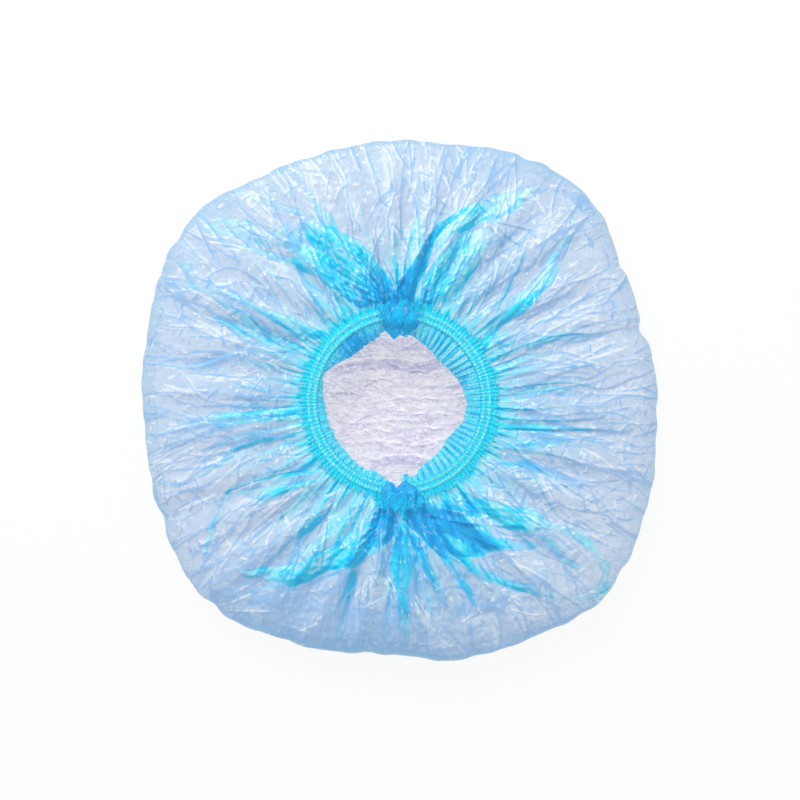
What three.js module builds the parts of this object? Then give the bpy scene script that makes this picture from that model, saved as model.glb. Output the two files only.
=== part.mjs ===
// A disposable shower cap of thin tinted film, laid out flat with its gathered elastic mouth upwards.
// Millimetres, +Z up. The origin is on the surface that the cap lies on, under the middle of its outline.
// The crown film lies on that surface. It folds over at the cap's edge, and the two side films run
// back from there, pleated, to the mouth. +Y is the front end seal, -Y the back one, -X the left side and +X the right.
import * as THREE from "three";

// Whole cap, as it lies
const cap_radius = 143.2;
const crest_height = 34;
const edge_height = 6;
// The edge's radius every 15 degrees from +X, as shares of cap_radius
const outline_shares = [
  0.97, 0.96, 0.97, 1.04, 1.03, 0.99, 0.975, 0.975, 0.985, 1.035, 1.035, 0.985,
  0.975, 0.985, 1.02, 1.06, 1.025, 0.985, 0.97, 1.015, 1.035, 1.07, 1.04, 0.99,
];

// Film. Its wall is a stand-in that a solid can have: the real film is about 0.02 mm thick.
const film_wall = 0.6;
const seam_gap = 0.3;
const clearance = 0.3;
const edge_fold_reach = 9;
// The crown film ends and the edge folds begin here, as a share of the outline
const lip_share = 0.86;

// Pleats of the side films, from the back end seal to the front one. They grow from the mouth on
// and run out at the edge, and the power brings their highest place nearer to the mouth.
const pleat_depth = 3.2;
const pleat_depth_shares = [
  1, 0.8, 0.5, 0.9, 0.55, 0.7, 0.45, 0.6, 0.45, 0.65, 0.5, 0.85, 0.55, 0.75, 1,
];
const pleat_power = 0.8;
// Broad swells between the mouth and the edge. Their heights every 15 degrees from +X, beside the
// mouth and beside the edge, are shares of swell_height, and below 0 the film sags.
const swell_height = 5;
const inner_swell_shares = [
  -0.1, -0.7, -0.2, -0.9, -0.35, 0.1, -0.6, -0.15, -0.8, -0.3, 0, -0.75,
  -0.2, -0.55, 0.1, -0.85, -0.4, -0.05, -0.7, -0.1, -0.5, -0.95, -0.25, -0.65,
];
const outer_swell_shares = [
  -0.8, -0.1, -0.6, 0, -0.75, -0.9, -0.2, -0.5, 0.05, -0.7, -0.3, -0.95,
  -0.1, 0, -0.8, -0.35, -0.65, -0.9, 0, -0.45, -0.85, -0.1, -0.7, -0.2,
];
const columns_per_pleat = 4;
const upper_rows = 9;
const fold_rows = 3;
// The film's section from the mouth to the edge: a flattened dome with a dip round the mouth
const dome_power = 3.2;
const dome_roundness = 0.55;
const dip_width_share = 0.3;
// How far the pleats are drawn together at the end seals
const bunching_share = 0.42;

// Mouth: the middle line of the elastic casing
const mouth_radius = 46.8;
const mouth_height = 26;
const mouth_offset_x = -0.7;
const mouth_offset_y = -1.6;

// Elastic: two round strands lie side by side in the casing
const strand_diameter = 1.4;
const strand_web = 1.6;
const strand_sides = 6;
const ring_steps = 30;

// Casing: the film's hem, folded over the strands
const casing_wall = 0.6;
const channel_radius = strand_diameter / 2 + clearance;
const strand_pitch = 2 * channel_radius + strand_web;
const casing_half_width = strand_pitch / 2 + channel_radius + casing_wall;
const casing_half_height = channel_radius + casing_wall;
const casing_corner_steps = 4;

// Frill: the film's free edge inside the mouth
const frill_reach = 11;
const frill_wall = 0.5;
const frill_depth = 1.3;
const frill_droop = 2.4;
const frill_waves_per_side = 24;
const columns_per_wave = 4;
const frill_rows = 2;
// How wide the frill is every 30 degrees from +X, as shares of frill_reach
const frill_width_shares = [
  0.58, 0.82, 0.92, 0.72, 0.7, 0.36, 0.36, 0.42, 0.4, 0.5, 0.85, 0.8,
];

// End seals: the bunch of welded film where the two sides of the mouth meet
const seal_half_width = 4.2;
const seal_half_height = 3.1;
const seal_inner_reach = 7;
const seal_outer_reach = 5;
const seal_lobes = 6;
const seal_lobe_depth_share = 0.16;
const seal_points = 18;
// The angle over which the film's inner edge goes round a seal
const seal_spread_angle = THREE.MathUtils.degToRad(7.5);
// Stations along a seal: share of its length, share of its half width, share of its half height
const seal_station_shares = [
  [0, 0.3, 0.3], [0.12, 0.65, 0.7], [0.3, 0.85, 1], [0.5, 0.8, 0.95],
  [0.7, 1, 0.8], [0.88, 0.75, 0.6], [1, 0.35, 0.25],
];

const casing_outer_radius = mouth_radius + casing_half_width;
const casing_inner_radius = mouth_radius - casing_half_width;
const film_inner_radius = casing_outer_radius + clearance;
const frill_outer_radius = casing_inner_radius - clearance;
const frill_inner_radius = frill_outer_radius - frill_reach * Math.max(...frill_width_shares);
const casing_end_angle = Math.asin((seal_half_width + clearance) / casing_inner_radius);
const frill_end_angle = Math.asin((seal_half_width + clearance) / frill_inner_radius);
const quarter_turn = Math.PI / 2;

const film_material = new THREE.MeshStandardMaterial({ color: 0xb9d9f0, roughness: 0.3, metalness: 0 });
const crown_material = new THREE.MeshStandardMaterial({ color: 0xdfe3f2, roughness: 0.3, metalness: 0 });
const casing_material = new THREE.MeshStandardMaterial({ color: 0x2fc4ee, roughness: 0.35, metalness: 0 });
const elastic_material = new THREE.MeshStandardMaterial({ color: 0x5fe6f8, roughness: 0.6, metalness: 0 });
const seal_material = new THREE.MeshStandardMaterial({ color: 0x0fa3e0, roughness: 0.35, metalness: 0 });

// The smooth closed curve through evenly spaced shares, read at an angle.
function shareAt(shares, angle) {
  const count = shares.length;
  const place = (((angle / (2 * Math.PI)) % 1) + 1) % 1 * count;
  const i = Math.floor(place);
  const f = place - i;
  const [a, b, c, d] = [-1, 0, 1, 2].map((k) => shares[(i + k + count) % count]);
  return b + 0.5 * f * (c - a + f * (2 * a - 5 * b + 4 * c - d + f * (3 * (b - c) + d - a)));
}

function edgePoint(angle, inset) {
  const r = cap_radius * shareAt(outline_shares, angle) - inset;
  return new THREE.Vector3(r * Math.cos(angle), r * Math.sin(angle), 0);
}

function mouthPoint(angle, radius) {
  return new THREE.Vector3(
    mouth_offset_x + radius * Math.cos(angle),
    mouth_offset_y + radius * Math.sin(angle),
    0,
  );
}

// A geometry from its corner points and triangles of indices.
function geometryOf(points, triangles) {
  const geometry = new THREE.BufferGeometry();
  geometry.setAttribute("position", new THREE.Float32BufferAttribute(points.flatMap((p) => p.toArray()), 3));
  geometry.setIndex(triangles.flat());
  geometry.computeVertexNormals();
  return geometry;
}

// A closed sheet of the given wall around a grid of middle points, whose rows run outwards and
// whose columns run anticlockwise.
function sheetGeometry(grid, wall) {
  const rows = grid.length;
  const columns = grid[0].length;
  const upper = [];
  const lower = [];
  grid.forEach((row, j) => row.forEach((middle, i) => {
    const outward = grid[Math.min(j + 1, rows - 1)][i].clone().sub(grid[Math.max(j - 1, 0)][i]);
    const around = row[Math.min(i + 1, columns - 1)].clone().sub(row[Math.max(i - 1, 0)]);
    const offset = outward.cross(around).normalize().multiplyScalar(wall / 2);
    upper.push(middle.clone().add(offset));
    lower.push(middle.clone().sub(offset));
  }));
  const triangles = [];
  const quad = (a, b, c, d) => triangles.push([a, b, c], [a, c, d]);
  const top = (j, i) => j * columns + i;
  const under = (j, i) => upper.length + top(j, i);
  for (let j = 0; j + 1 < rows; j++) {
    for (let i = 0; i + 1 < columns; i++) {
      quad(top(j, i), top(j + 1, i), top(j + 1, i + 1), top(j, i + 1));
      quad(under(j, i), under(j, i + 1), under(j + 1, i + 1), under(j + 1, i));
    }
    quad(top(j, 0), under(j, 0), under(j + 1, 0), top(j + 1, 0));
    quad(top(j + 1, columns - 1), under(j + 1, columns - 1), under(j, columns - 1), top(j, columns - 1));
  }
  for (let i = 0; i + 1 < columns; i++) {
    quad(top(0, i + 1), under(0, i + 1), under(0, i), top(0, i));
    quad(top(rows - 1, i), under(rows - 1, i), under(rows - 1, i + 1), top(rows - 1, i + 1));
  }
  return geometryOf([...upper, ...lower], triangles);
}

// A closed solid through rings of points, all with the same flat outline, which may have holes.
// place(station, point) puts a point of the outline, or of a hole, at a station.
function loftGeometry(outline, holes, stations, place) {
  const flat = [...outline, ...holes.flat()];
  const caps = THREE.ShapeUtils.triangulateShape(outline, holes);
  const points = stations.flatMap((station) => flat.map((p) => place(station, p)));
  const last = (stations.length - 1) * flat.length;
  const triangles = [];
  caps.forEach(([a, b, c]) => triangles.push([a, b, c], [last + c, last + b, last + a]));
  let first = 0;
  [outline, ...holes].forEach((loop) => {
    stations.slice(1).forEach((_, k) => loop.forEach((__, i) => {
      const [p, q] = [first + i, first + ((i + 1) % loop.length)].map((n) => k * flat.length + n);
      triangles.push([p, p + flat.length, q + flat.length], [p, q + flat.length, q]);
    }));
    first += loop.length;
  });
  return geometryOf(points, triangles);
}

function circle(x, y, radius, sides, turn) {
  return Array.from({ length: sides }, (_, i) => {
    const angle = turn * (i / sides) * 2 * Math.PI;
    return new THREE.Vector2(x + radius * Math.cos(angle), y + radius * Math.sin(angle));
  });
}

// Evenly spaced numbers from one to another.
function spaced(from, to, steps) {
  return Array.from({ length: steps + 1 }, (_, i) => THREE.MathUtils.lerp(from, to, i / steps));
}

// The crown film: a flat panel on the surface, up to where the edge folds begin.
function crownFilm() {
  const shape = new THREE.Shape(
    spaced(0, 2 * Math.PI, 3 * outline_shares.length).slice(0, -1).map((angle) => {
      const inner = edgePoint(angle, 0).multiplyScalar(lip_share);
      inner.setLength(inner.length() - clearance);
      return new THREE.Vector2(inner.x, inner.y);
    }),
  );
  return new THREE.ExtrudeGeometry(shape, { depth: film_wall, bevelEnabled: false });
}

// How far the film is from the mouth's middle at its inner edge: it passes round the end seals.
function filmStart(angle) {
  const fromSeal = Math.acos(Math.abs(Math.sin(angle)));
  return film_inner_radius + seal_outer_reach * Math.exp(-((fromSeal / seal_spread_angle) ** 2));
}

// Height of the film's middle at a share of the way from the mouth to the cap's edge.
function filmHeight(out) {
  const dome = (1 - out ** dome_power) ** dome_roundness;
  const dip = (crest_height - mouth_height) * Math.exp(-((out / dip_width_share) ** 2));
  return edge_height + (crest_height - edge_height) * dome - dip;
}

// How far the film swells or sags at an angle, at a share of the way from the mouth to the edge.
function filmSwell(angle, out) {
  const inner = shareAt(inner_swell_shares, angle);
  const outer = shareAt(outer_swell_shares, angle);
  return swell_height * THREE.MathUtils.lerp(inner, outer, out) * Math.sin(Math.PI * out);
}

// The angle of the back end seal, from which the right side runs on, or of the front one.
function sealAngle(side) {
  return -side * quarter_turn;
}

// How far the halves of the film stay from the plane in which they meet.
function seamOffset(side) {
  return new THREE.Vector3(side * seam_gap / 2, 0, 0);
}

// A side film, from the mouth over the crest to the cap's edge.
function sideFilm(side) {
  const depths = side > 0 ? pleat_depth_shares : [...pleat_depth_shares].reverse();
  const columns = depths.length * columns_per_pleat;
  const turns = spaced(0, 1, columns).map((u, i) => ({
    edge: sealAngle(side) + Math.PI * u,
    mouth: sealAngle(side) + Math.PI * u - bunching_share * Math.sin(2 * Math.PI * u) / 2,
    wave: pleat_depth * (depths[Math.floor(i / columns_per_pleat)] ?? 0)
      * Math.sin(2 * Math.PI * i / columns_per_pleat),
  }));
  const grid = spaced(0, quarter_turn, upper_rows).map((turn) => {
    const out = Math.sin(turn);
    const pleating = Math.sin(Math.PI * out ** pleat_power);
    return turns.map(({ edge, mouth, wave }) => {
      const point = mouthPoint(mouth, filmStart(mouth)).lerp(edgePoint(edge, 0), out);
      point.z = filmHeight(out) + pleating * wave + filmSwell(edge, out);
      return point.add(seamOffset(side));
    });
  });
  return sheetGeometry(grid, film_wall);
}

// An edge fold: the film turned under at the cap's edge, and flat from there to the crown film.
function edgeFold(side) {
  const columns = pleat_depth_shares.length * columns_per_pleat;
  const angles = spaced(sealAngle(side), sealAngle(side) + Math.PI, columns);
  const top = edge_height - seam_gap - film_wall / 2;
  const rolled = spaced(0, quarter_turn, fold_rows).map((turn) => angles.map((angle) => {
    const point = edgePoint(angle, edge_fold_reach * (1 - Math.cos(turn)));
    point.z = THREE.MathUtils.lerp(top, film_wall / 2, Math.sin(turn));
    return point.add(seamOffset(side));
  }));
  const lip = angles.map((angle) => {
    const point = edgePoint(angle, 0).multiplyScalar(lip_share);
    point.z = film_wall / 2;
    return point.add(seamOffset(side));
  });
  return sheetGeometry([...rolled, lip], film_wall);
}

// The angles of one side of the mouth, between the two end seals.
function mouthAngles(side, endAngle, steps) {
  return spaced(sealAngle(side) + endAngle, sealAngle(side) + Math.PI - endAngle, steps);
}

// A solid of that flat section, swept round one side of the mouth.
function alongMouth(side, outline, holes) {
  return loftGeometry(outline, holes, mouthAngles(side, casing_end_angle, ring_steps), (angle, p) => {
    const point = mouthPoint(angle, mouth_radius + p.x);
    point.z = mouth_height + p.y;
    return point;
  });
}

function elasticStrand(side, offset) {
  return alongMouth(side, circle(offset, 0, strand_diameter / 2, strand_sides, 1), []);
}

// The hem: a flat casing with rounded sides, and a channel through it for each strand.
function casing(side) {
  const flat = casing_half_width - casing_half_height;
  const outline = [1, -1].flatMap((end) =>
    spaced(-quarter_turn, quarter_turn, casing_corner_steps).map((turn) => new THREE.Vector2(
      end * (flat + casing_half_height * Math.cos(turn)),
      end * casing_half_height * Math.sin(turn),
    )),
  );
  const channels = [-1, 1].map((end) => circle(end * strand_pitch / 2, 0, channel_radius, strand_sides, -1));
  return alongMouth(side, outline, channels);
}

// The frill: a wavy sheet that droops from the casing into the mouth.
function frill(side) {
  const angles = mouthAngles(side, frill_end_angle, frill_waves_per_side * columns_per_wave);
  const grid = spaced(1, 0, frill_rows).map((inward) => angles.map((angle, i) => {
    const width = frill_reach * shareAt(frill_width_shares, angle);
    const point = mouthPoint(angle, frill_outer_radius - width * inward);
    const wave = Math.sin(2 * Math.PI * i / columns_per_wave + Math.PI / columns_per_wave);
    point.z = mouth_height - frill_droop * inward ** 2 + frill_depth * wave * (0.4 + 0.6 * inward);
    return point;
  }));
  return sheetGeometry(grid, frill_wall);
}

// An end seal: film bunched into a ridged knot between the ends of the two casings.
function endSeal(end) {
  const outline = Array.from({ length: seal_points }, (_, i) => {
    const angle = 2 * Math.PI * i / seal_points;
    const lobe = 1 - seal_lobe_depth_share * Math.cos(seal_lobes * angle) ** 2;
    return new THREE.Vector2(lobe * Math.cos(angle), lobe * Math.sin(angle));
  });
  const from = casing_inner_radius - seal_inner_reach;
  const to = film_inner_radius + seal_outer_reach - clearance;
  return loftGeometry(outline, [], seal_station_shares, ([along, width, height], p) => new THREE.Vector3(
    mouth_offset_x + end * p.x * width * seal_half_width,
    mouth_offset_y + end * THREE.MathUtils.lerp(from, to, along),
    mouth_height + p.y * height * seal_half_height,
  ));
}

function piece(name, geometry, material) {
  const mesh = new THREE.Mesh(geometry, material);
  mesh.name = name;
  return mesh;
}

const cap = new THREE.Group();
cap.add(piece("crown_film", crownFilm(), crown_material));
[["left", -1], ["right", 1]].forEach(([name, side]) => {
  cap.add(
    piece(`${name}_side_film`, sideFilm(side), film_material),
    piece(`${name}_edge_fold`, edgeFold(side), film_material),
    piece(`${name}_elastic_casing`, casing(side), casing_material),
    piece(`${name}_outer_elastic`, elasticStrand(side, strand_pitch / 2), elastic_material),
    piece(`${name}_inner_elastic`, elasticStrand(side, -strand_pitch / 2), elastic_material),
    piece(`${name}_frill`, frill(side), casing_material),
  );
});
cap.add(piece("front_end_seal", endSeal(1), seal_material));
cap.add(piece("back_end_seal", endSeal(-1), seal_material));

// The outline isn't even, so the cap is moved to put the origin under the middle of its bounding box.
const bounds = new THREE.Box3().setFromObject(cap);
const middle = bounds.getCenter(new THREE.Vector3());
cap.position.set(-middle.x, -middle.y, -bounds.min.z);

export default cap;
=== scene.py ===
import math

import bpy
import numpy as np
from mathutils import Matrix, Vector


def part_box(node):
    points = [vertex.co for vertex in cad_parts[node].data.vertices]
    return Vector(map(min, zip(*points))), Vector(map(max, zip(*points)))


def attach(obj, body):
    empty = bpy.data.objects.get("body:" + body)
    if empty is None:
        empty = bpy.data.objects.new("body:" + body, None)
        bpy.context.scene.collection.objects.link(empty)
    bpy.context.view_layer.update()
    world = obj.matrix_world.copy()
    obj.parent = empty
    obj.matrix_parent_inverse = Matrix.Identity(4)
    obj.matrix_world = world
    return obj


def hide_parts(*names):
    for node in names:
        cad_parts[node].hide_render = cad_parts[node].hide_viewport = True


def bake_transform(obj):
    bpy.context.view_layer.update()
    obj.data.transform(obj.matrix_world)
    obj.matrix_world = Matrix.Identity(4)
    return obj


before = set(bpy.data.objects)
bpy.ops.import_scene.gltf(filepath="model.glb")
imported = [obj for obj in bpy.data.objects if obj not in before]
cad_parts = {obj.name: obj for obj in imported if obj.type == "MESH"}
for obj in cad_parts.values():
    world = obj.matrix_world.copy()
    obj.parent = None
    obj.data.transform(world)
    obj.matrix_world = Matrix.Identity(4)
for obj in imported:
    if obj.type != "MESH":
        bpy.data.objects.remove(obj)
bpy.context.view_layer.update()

# A disposable shower cap of thin tinted film, lying flat with its gathered mouth upwards.
# Metres, +Z up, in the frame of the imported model. Every piece is a surface worked out here.

bl_info = {
    "name": "Shower Cap",
    "version": (1, 0, 0),
    "blender": (4, 5, 0),
    "location": "View3D > Sidebar > Shower Cap",
    "description": "Makes a disposable shower cap of crumpled film with a gathered elastic mouth",
    "category": "Add Mesh",
}

MM = 0.001
TAU = 2 * math.pi
SIDES = (("left", -1), ("right", 1))
# More than any distance here, and a value too small to show that keeps signs and shares from being 0
FAR = 1e9
TINY = 1e-12

# The middle of the cap's outline, and of its mouth
CAP_MIDDLE = np.array((0.25, 0.67)) * MM
MOUTH_MIDDLE = np.array((-0.45, -0.93)) * MM
# The middles of the knots at the two ends of the mouth, in millimetres
KNOTS = ((-0.45, 55), (1, -57))
# The way to the main lamp, seen from above, which the side films' painted shade is taken from
LAMP_WAY = (-0.33, 0.94)
# Each low lamp's bearing and height in degrees, and how far off they stand in metres
GLINT_LAMPS = ((20, 34), (95, 42), (170, 34), (250, 40), (320, 48))
GLINT_DISTANCE = 1.1

# How far from the ring between the strands the side film starts outwards, and the frill inwards
FILM_START = 3.0 * MM
FRILL_START = 3.1 * MM
# Height of the film's last row under the edge
UNDER_HEIGHT = 0.7 * MM
# How fast these fade: the tight film round a knot, the fine gathers, and the crumples' spokes
KNOT_REACH = 13 * MM
GATHER_REACH = 26 * MM
SPOKE_REACH = 42 * MM
# Where the front and the back end seal start from the mouth's middle, and how long they are
SEAL_STARTS = {1: 35.6 * MM, -1: 42.2 * MM}
SEAL_LENGTH = 24 * MM
# Each end seal's notch over the frill: its depth, its middle and half its width in millimetres
SEAL_NOTCHES = {1: (-2.4, -2.8, 3), -1: (3.6, -1.2, 3.4)}

# The deepest tint of the side films, and of the frills and end seals
DEEPEST_FILM = 1.2
DEEPEST_GATHER = 1.3
# Half the width of a crinkle's crease line
CREASE_WIDTH = 0.45 * MM
# How far a fold draws film in, as a share of what a full turn of it would
FOLD_PULL = 0.68
# Number of seeded creases: all, those that run outwards, and the first of the short painted glints
SMALL_CREASES = 2100
CREASES_OUTWARDS = 680
FIRST_GLINT = 1200

# Seeded folds: their seed, how many start round the mouth and at each knot, where they may start and how
# long and wide they are in millimetres, and their tint at both ends
FOLD_SEED = 41
MOUTH_FOLDS = 230
KNOT_FOLDS = 24
SMALL_FOLD_STARTS = (50, 51, 53, 58, 66, 80)
SMALL_FOLD_LENGTHS = (14, 72)
SMALL_FOLD_WIDTHS = (1.2, 5.0)
FIRST_TINTS = (0.08, 0.26)
LAST_TINTS = (0.02, 0.08)
# Seeded creases: their seed, where they start, how long they are and how wide the facet beside them is, in
# millimetres, the facet's painted light or shade and the crease's strength
CREASE_SEED = 43
OUTWARD_STARTS = (52, 128)
OTHER_STARTS = (60, 142)
OUTWARD_LENGTHS = (12, 50)
OTHER_LENGTHS = (4, 16)
GLINT_LENGTHS = (1.5, 5)
OUTWARD_FACETS = (1.5, 7)
OTHER_FACETS = (1.5, 4.5)
FACET_SHADING_RANGE = (0.15, 0.55)
CREASE_STRENGTHS = (0.3, 1.3)
# The traced bright creases: facet width, its painted shading, and the strengths of the dark line and of
# the painted highlight line
BRIGHT_LOOK = (4, 0.3, 0.6, 1.5)
# Seeded creases of the crown film: seed, number, corners of where they start, lengths and strengths
CROWN_SEED = 47
CROWN_CREASES = 150
CROWN_PLACES = ((-52, -44), (40, 44))
CROWN_LENGTHS = (3, 16)
CROWN_STRENGTHS = (0.2, 1.0)
# Crinkles: their seed, how many sets of creases, and the shortest and the longest of their waves
BROAD_CRINKLE = (11, 7, 6 * MM, 13 * MM)
FINE_CRINKLE = (12, 7, 3.6 * MM, 7 * MM)
SPOKE_CRINKLE = (13, 12, 1.4 * MM, 4.5 * MM)
CROWN_CRINKLE = (21, 8, 3.5 * MM, 8 * MM)
CROWN_FINE_CRINKLE = (22, 8, 2 * MM, 4 * MM)

# How far the film turned under comes back in: by its round part, and evenly
UNDER_ROUND = 5 * MM
UNDER_EVEN = 2 * MM
# Where the film outside the hem starts to loosen, how fast it does, and how fast the ruffle's painted glare
# fades
HEM_EDGE = 5 * MM
HEM_REACH = 5.5 * MM
GLARE_REACH = 20 * MM
# How high the crown film curls up at its edge, and over what width
CURL_HEIGHT = 4 * MM
CURL_WIDTH = 6 * MM
# Distances from the mouth's middle over which the hem, and the side films, come to cover the crown film
UNDER_HEM = (44 * MM, 52 * MM)
UNDER_FILM = (40 * MM, 60 * MM)
# Across the hem's section, in millimetres from the ring between the strands: where it starts to flare, where
# its ruffle starts and ends, where the ruffle starts to thin, and a strand's middle and spread
FLARE_START = 2.8
RUFFLE_START = 3.4
RUFFLE_END = 7.6
THIN_START = 4.5
STRAND_PLACE = 1.7
STRAND_SPREAD = 0.85
# How far before the middle of an end seal the hem, the strands and the frill stop, in radians
CASING_STOP = 0.085
STRAND_STOP = 0.1
FRILL_STOP = 0.035
# Points along the hem and the frill for each gather, the step across the hem, and the frill's rows
CASING_STEPS = 9
FRILL_STEPS = 8
HEM_STEP = 0.45
FRILL_ROWS = 22
# Bearing and spread in degrees of the frill's smooth stretch, and of the two that are ribbed most
SMOOTH_FRILL = (128, 14)
RIBBED_FRILL = (38, 26)
LESS_RIBBED_FRILL = (310, 22)
# How many times the three sets of pleats wave over an end seal
SEAL_PLEATS = (11, 23, 41)

# Scales of the finishes' noise, and of the ribs round an elastic
CRUMPLE_SCALE = 210
DRAWN_SCALE = 430
PATCH_SCALE = 34
GLINT_SPECK_SCALE = 560
CROWN_SCALE = 260
CROWN_PATCH_SCALE = 45
CROWN_GLINT_SPECK_SCALE = 640
GATHER_SCALE = 330
GATHER_COARSE_SCALE = 190
RIB_SCALE = 320
RUBBER_SCALE = 900
# How the crown film's wrinkles are drawn out across it
DRAWN_ACROSS = (0.5, 1.0, 1.0)
# The small step in metres over which a finish's relief is taken, which sets which side of its creases
# gets painted light and which painted shade
FILM_STEP = (0.0003, -0.0004, 0.0)
DRAWN_STEP = (0.0002, 0.0, 0.0)
CROWN_STEP = (0.0001, -0.0004, 0.0)
GATHER_STEP = (0.0003, -0.0003, 0.0)
# Colours over a finish's own: each film's painted highlight, the crown film's folds, and an elastic's light
# ribs
FILM_HIGHLIGHT = (0.93, 0.94, 0.94)
CROWN_HIGHLIGHT = (0.98, 0.96, 1.0)
GATHER_HIGHLIGHT = (0.55, 0.97, 1.0)
CROWN_DEEP = (0.32, 0.28, 0.66)
RIB_LIGHT = (0.80, 0.98, 1.0)
# Refraction of the loose film, and of the crown film and the gathered film
LOOSE_IOR = 1.25
DENSE_IOR = 1.35

# The edge's radius every 15 degrees from +X, as shares of the cap's radius
OUTLINE_SHARES = (
    0.97, 0.96, 0.97, 1.04, 1.03, 0.99, 0.975, 0.975, 0.985, 1.035, 1.035, 0.985,
    0.975, 0.985, 1.02, 1.06, 1.025, 0.985, 0.97, 1.015, 1.035, 1.07, 1.04, 0.99,
)
# Small notches in the edge: angle in degrees, depth in millimetres, half width in degrees
EDGE_NOTCHES = (
    (144, 1.6, 2.6), (153, 1.2, 1.6), (228, 1.4, 2.2), (207, 2.4, 2.4), (16, 2.0, 2.0),
    (99, 0.9, 3.0), (62, 1.0, 1.6), (-38, 1.2, 2.4), (-74, 0.9, 3.0), (31, 1.2, 1.5),
)
# The free edge of the frills, as a distance from the mouth's middle in millimetres every 5 degrees
OPENING_REACHES = (
    35.8, 35.3, 34.7, 34.0, 33.3, 32.6, 31.9, 31.3, 30.7, 30.2, 30.6, 31.5,
    32.3, 33.1, 34.0, 35.0, 35.7, 34.9, 35.6, 33.8, 39.0, 37.6, 35.9, 35.4,
    35.1, 35.0, 35.1, 35.1, 35.8, 37.6, 39.4, 41.2, 42.6, 42.4, 41.1, 40.5,
    39.9, 39.4, 39.2, 39.1, 38.9, 38.8, 38.8, 38.8, 38.8, 39.0, 39.3, 39.7,
    40.1, 40.2, 39.2, 40.2, 42.0, 43.4, 43.2, 38.4, 40.8, 38.6, 36.7, 35.3,
    34.8, 34.2, 33.7, 33.3, 32.8, 32.4, 33.1, 34.0, 34.9, 35.9, 35.9, 35.9,
)

# Height of each pleat of a side film, from the back end seal to the front one, in millimetres
PLEAT_HEIGHTS = (3.2, 2.56, 1.6, 2.88, 1.76, 2.24, 1.44, 1.92, 1.44, 2.08, 1.6, 2.72, 1.76, 2.4, 3.2)
# Height of the film's broad swells every 15 degrees from +X, in millimetres: beside the mouth, and the edge
INNER_SWELLS = (
    -0.5, -3.5, -1, -4.5, -1.75, 0.5, -3, -0.75, -4, -1.5, 0, -3.75,
    -1, -2.75, 0.5, -4.25, -2, -0.25, -3.5, -0.5, -2.5, -4.75, -1.25, -3.25,
)
OUTER_SWELLS = (
    -4, -0.5, -3, 0, -3.75, -4.5, -1, -2.5, 0.25, -3.5, -1.5, -4.75,
    -0.5, 0, -4, -1.75, -3.25, -4.5, 0, -2.25, -4.25, -0.5, -3.5, -1,
)

# In the tables below, lines and outlines are x and y in turn, in millimetres from the origin.

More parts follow.
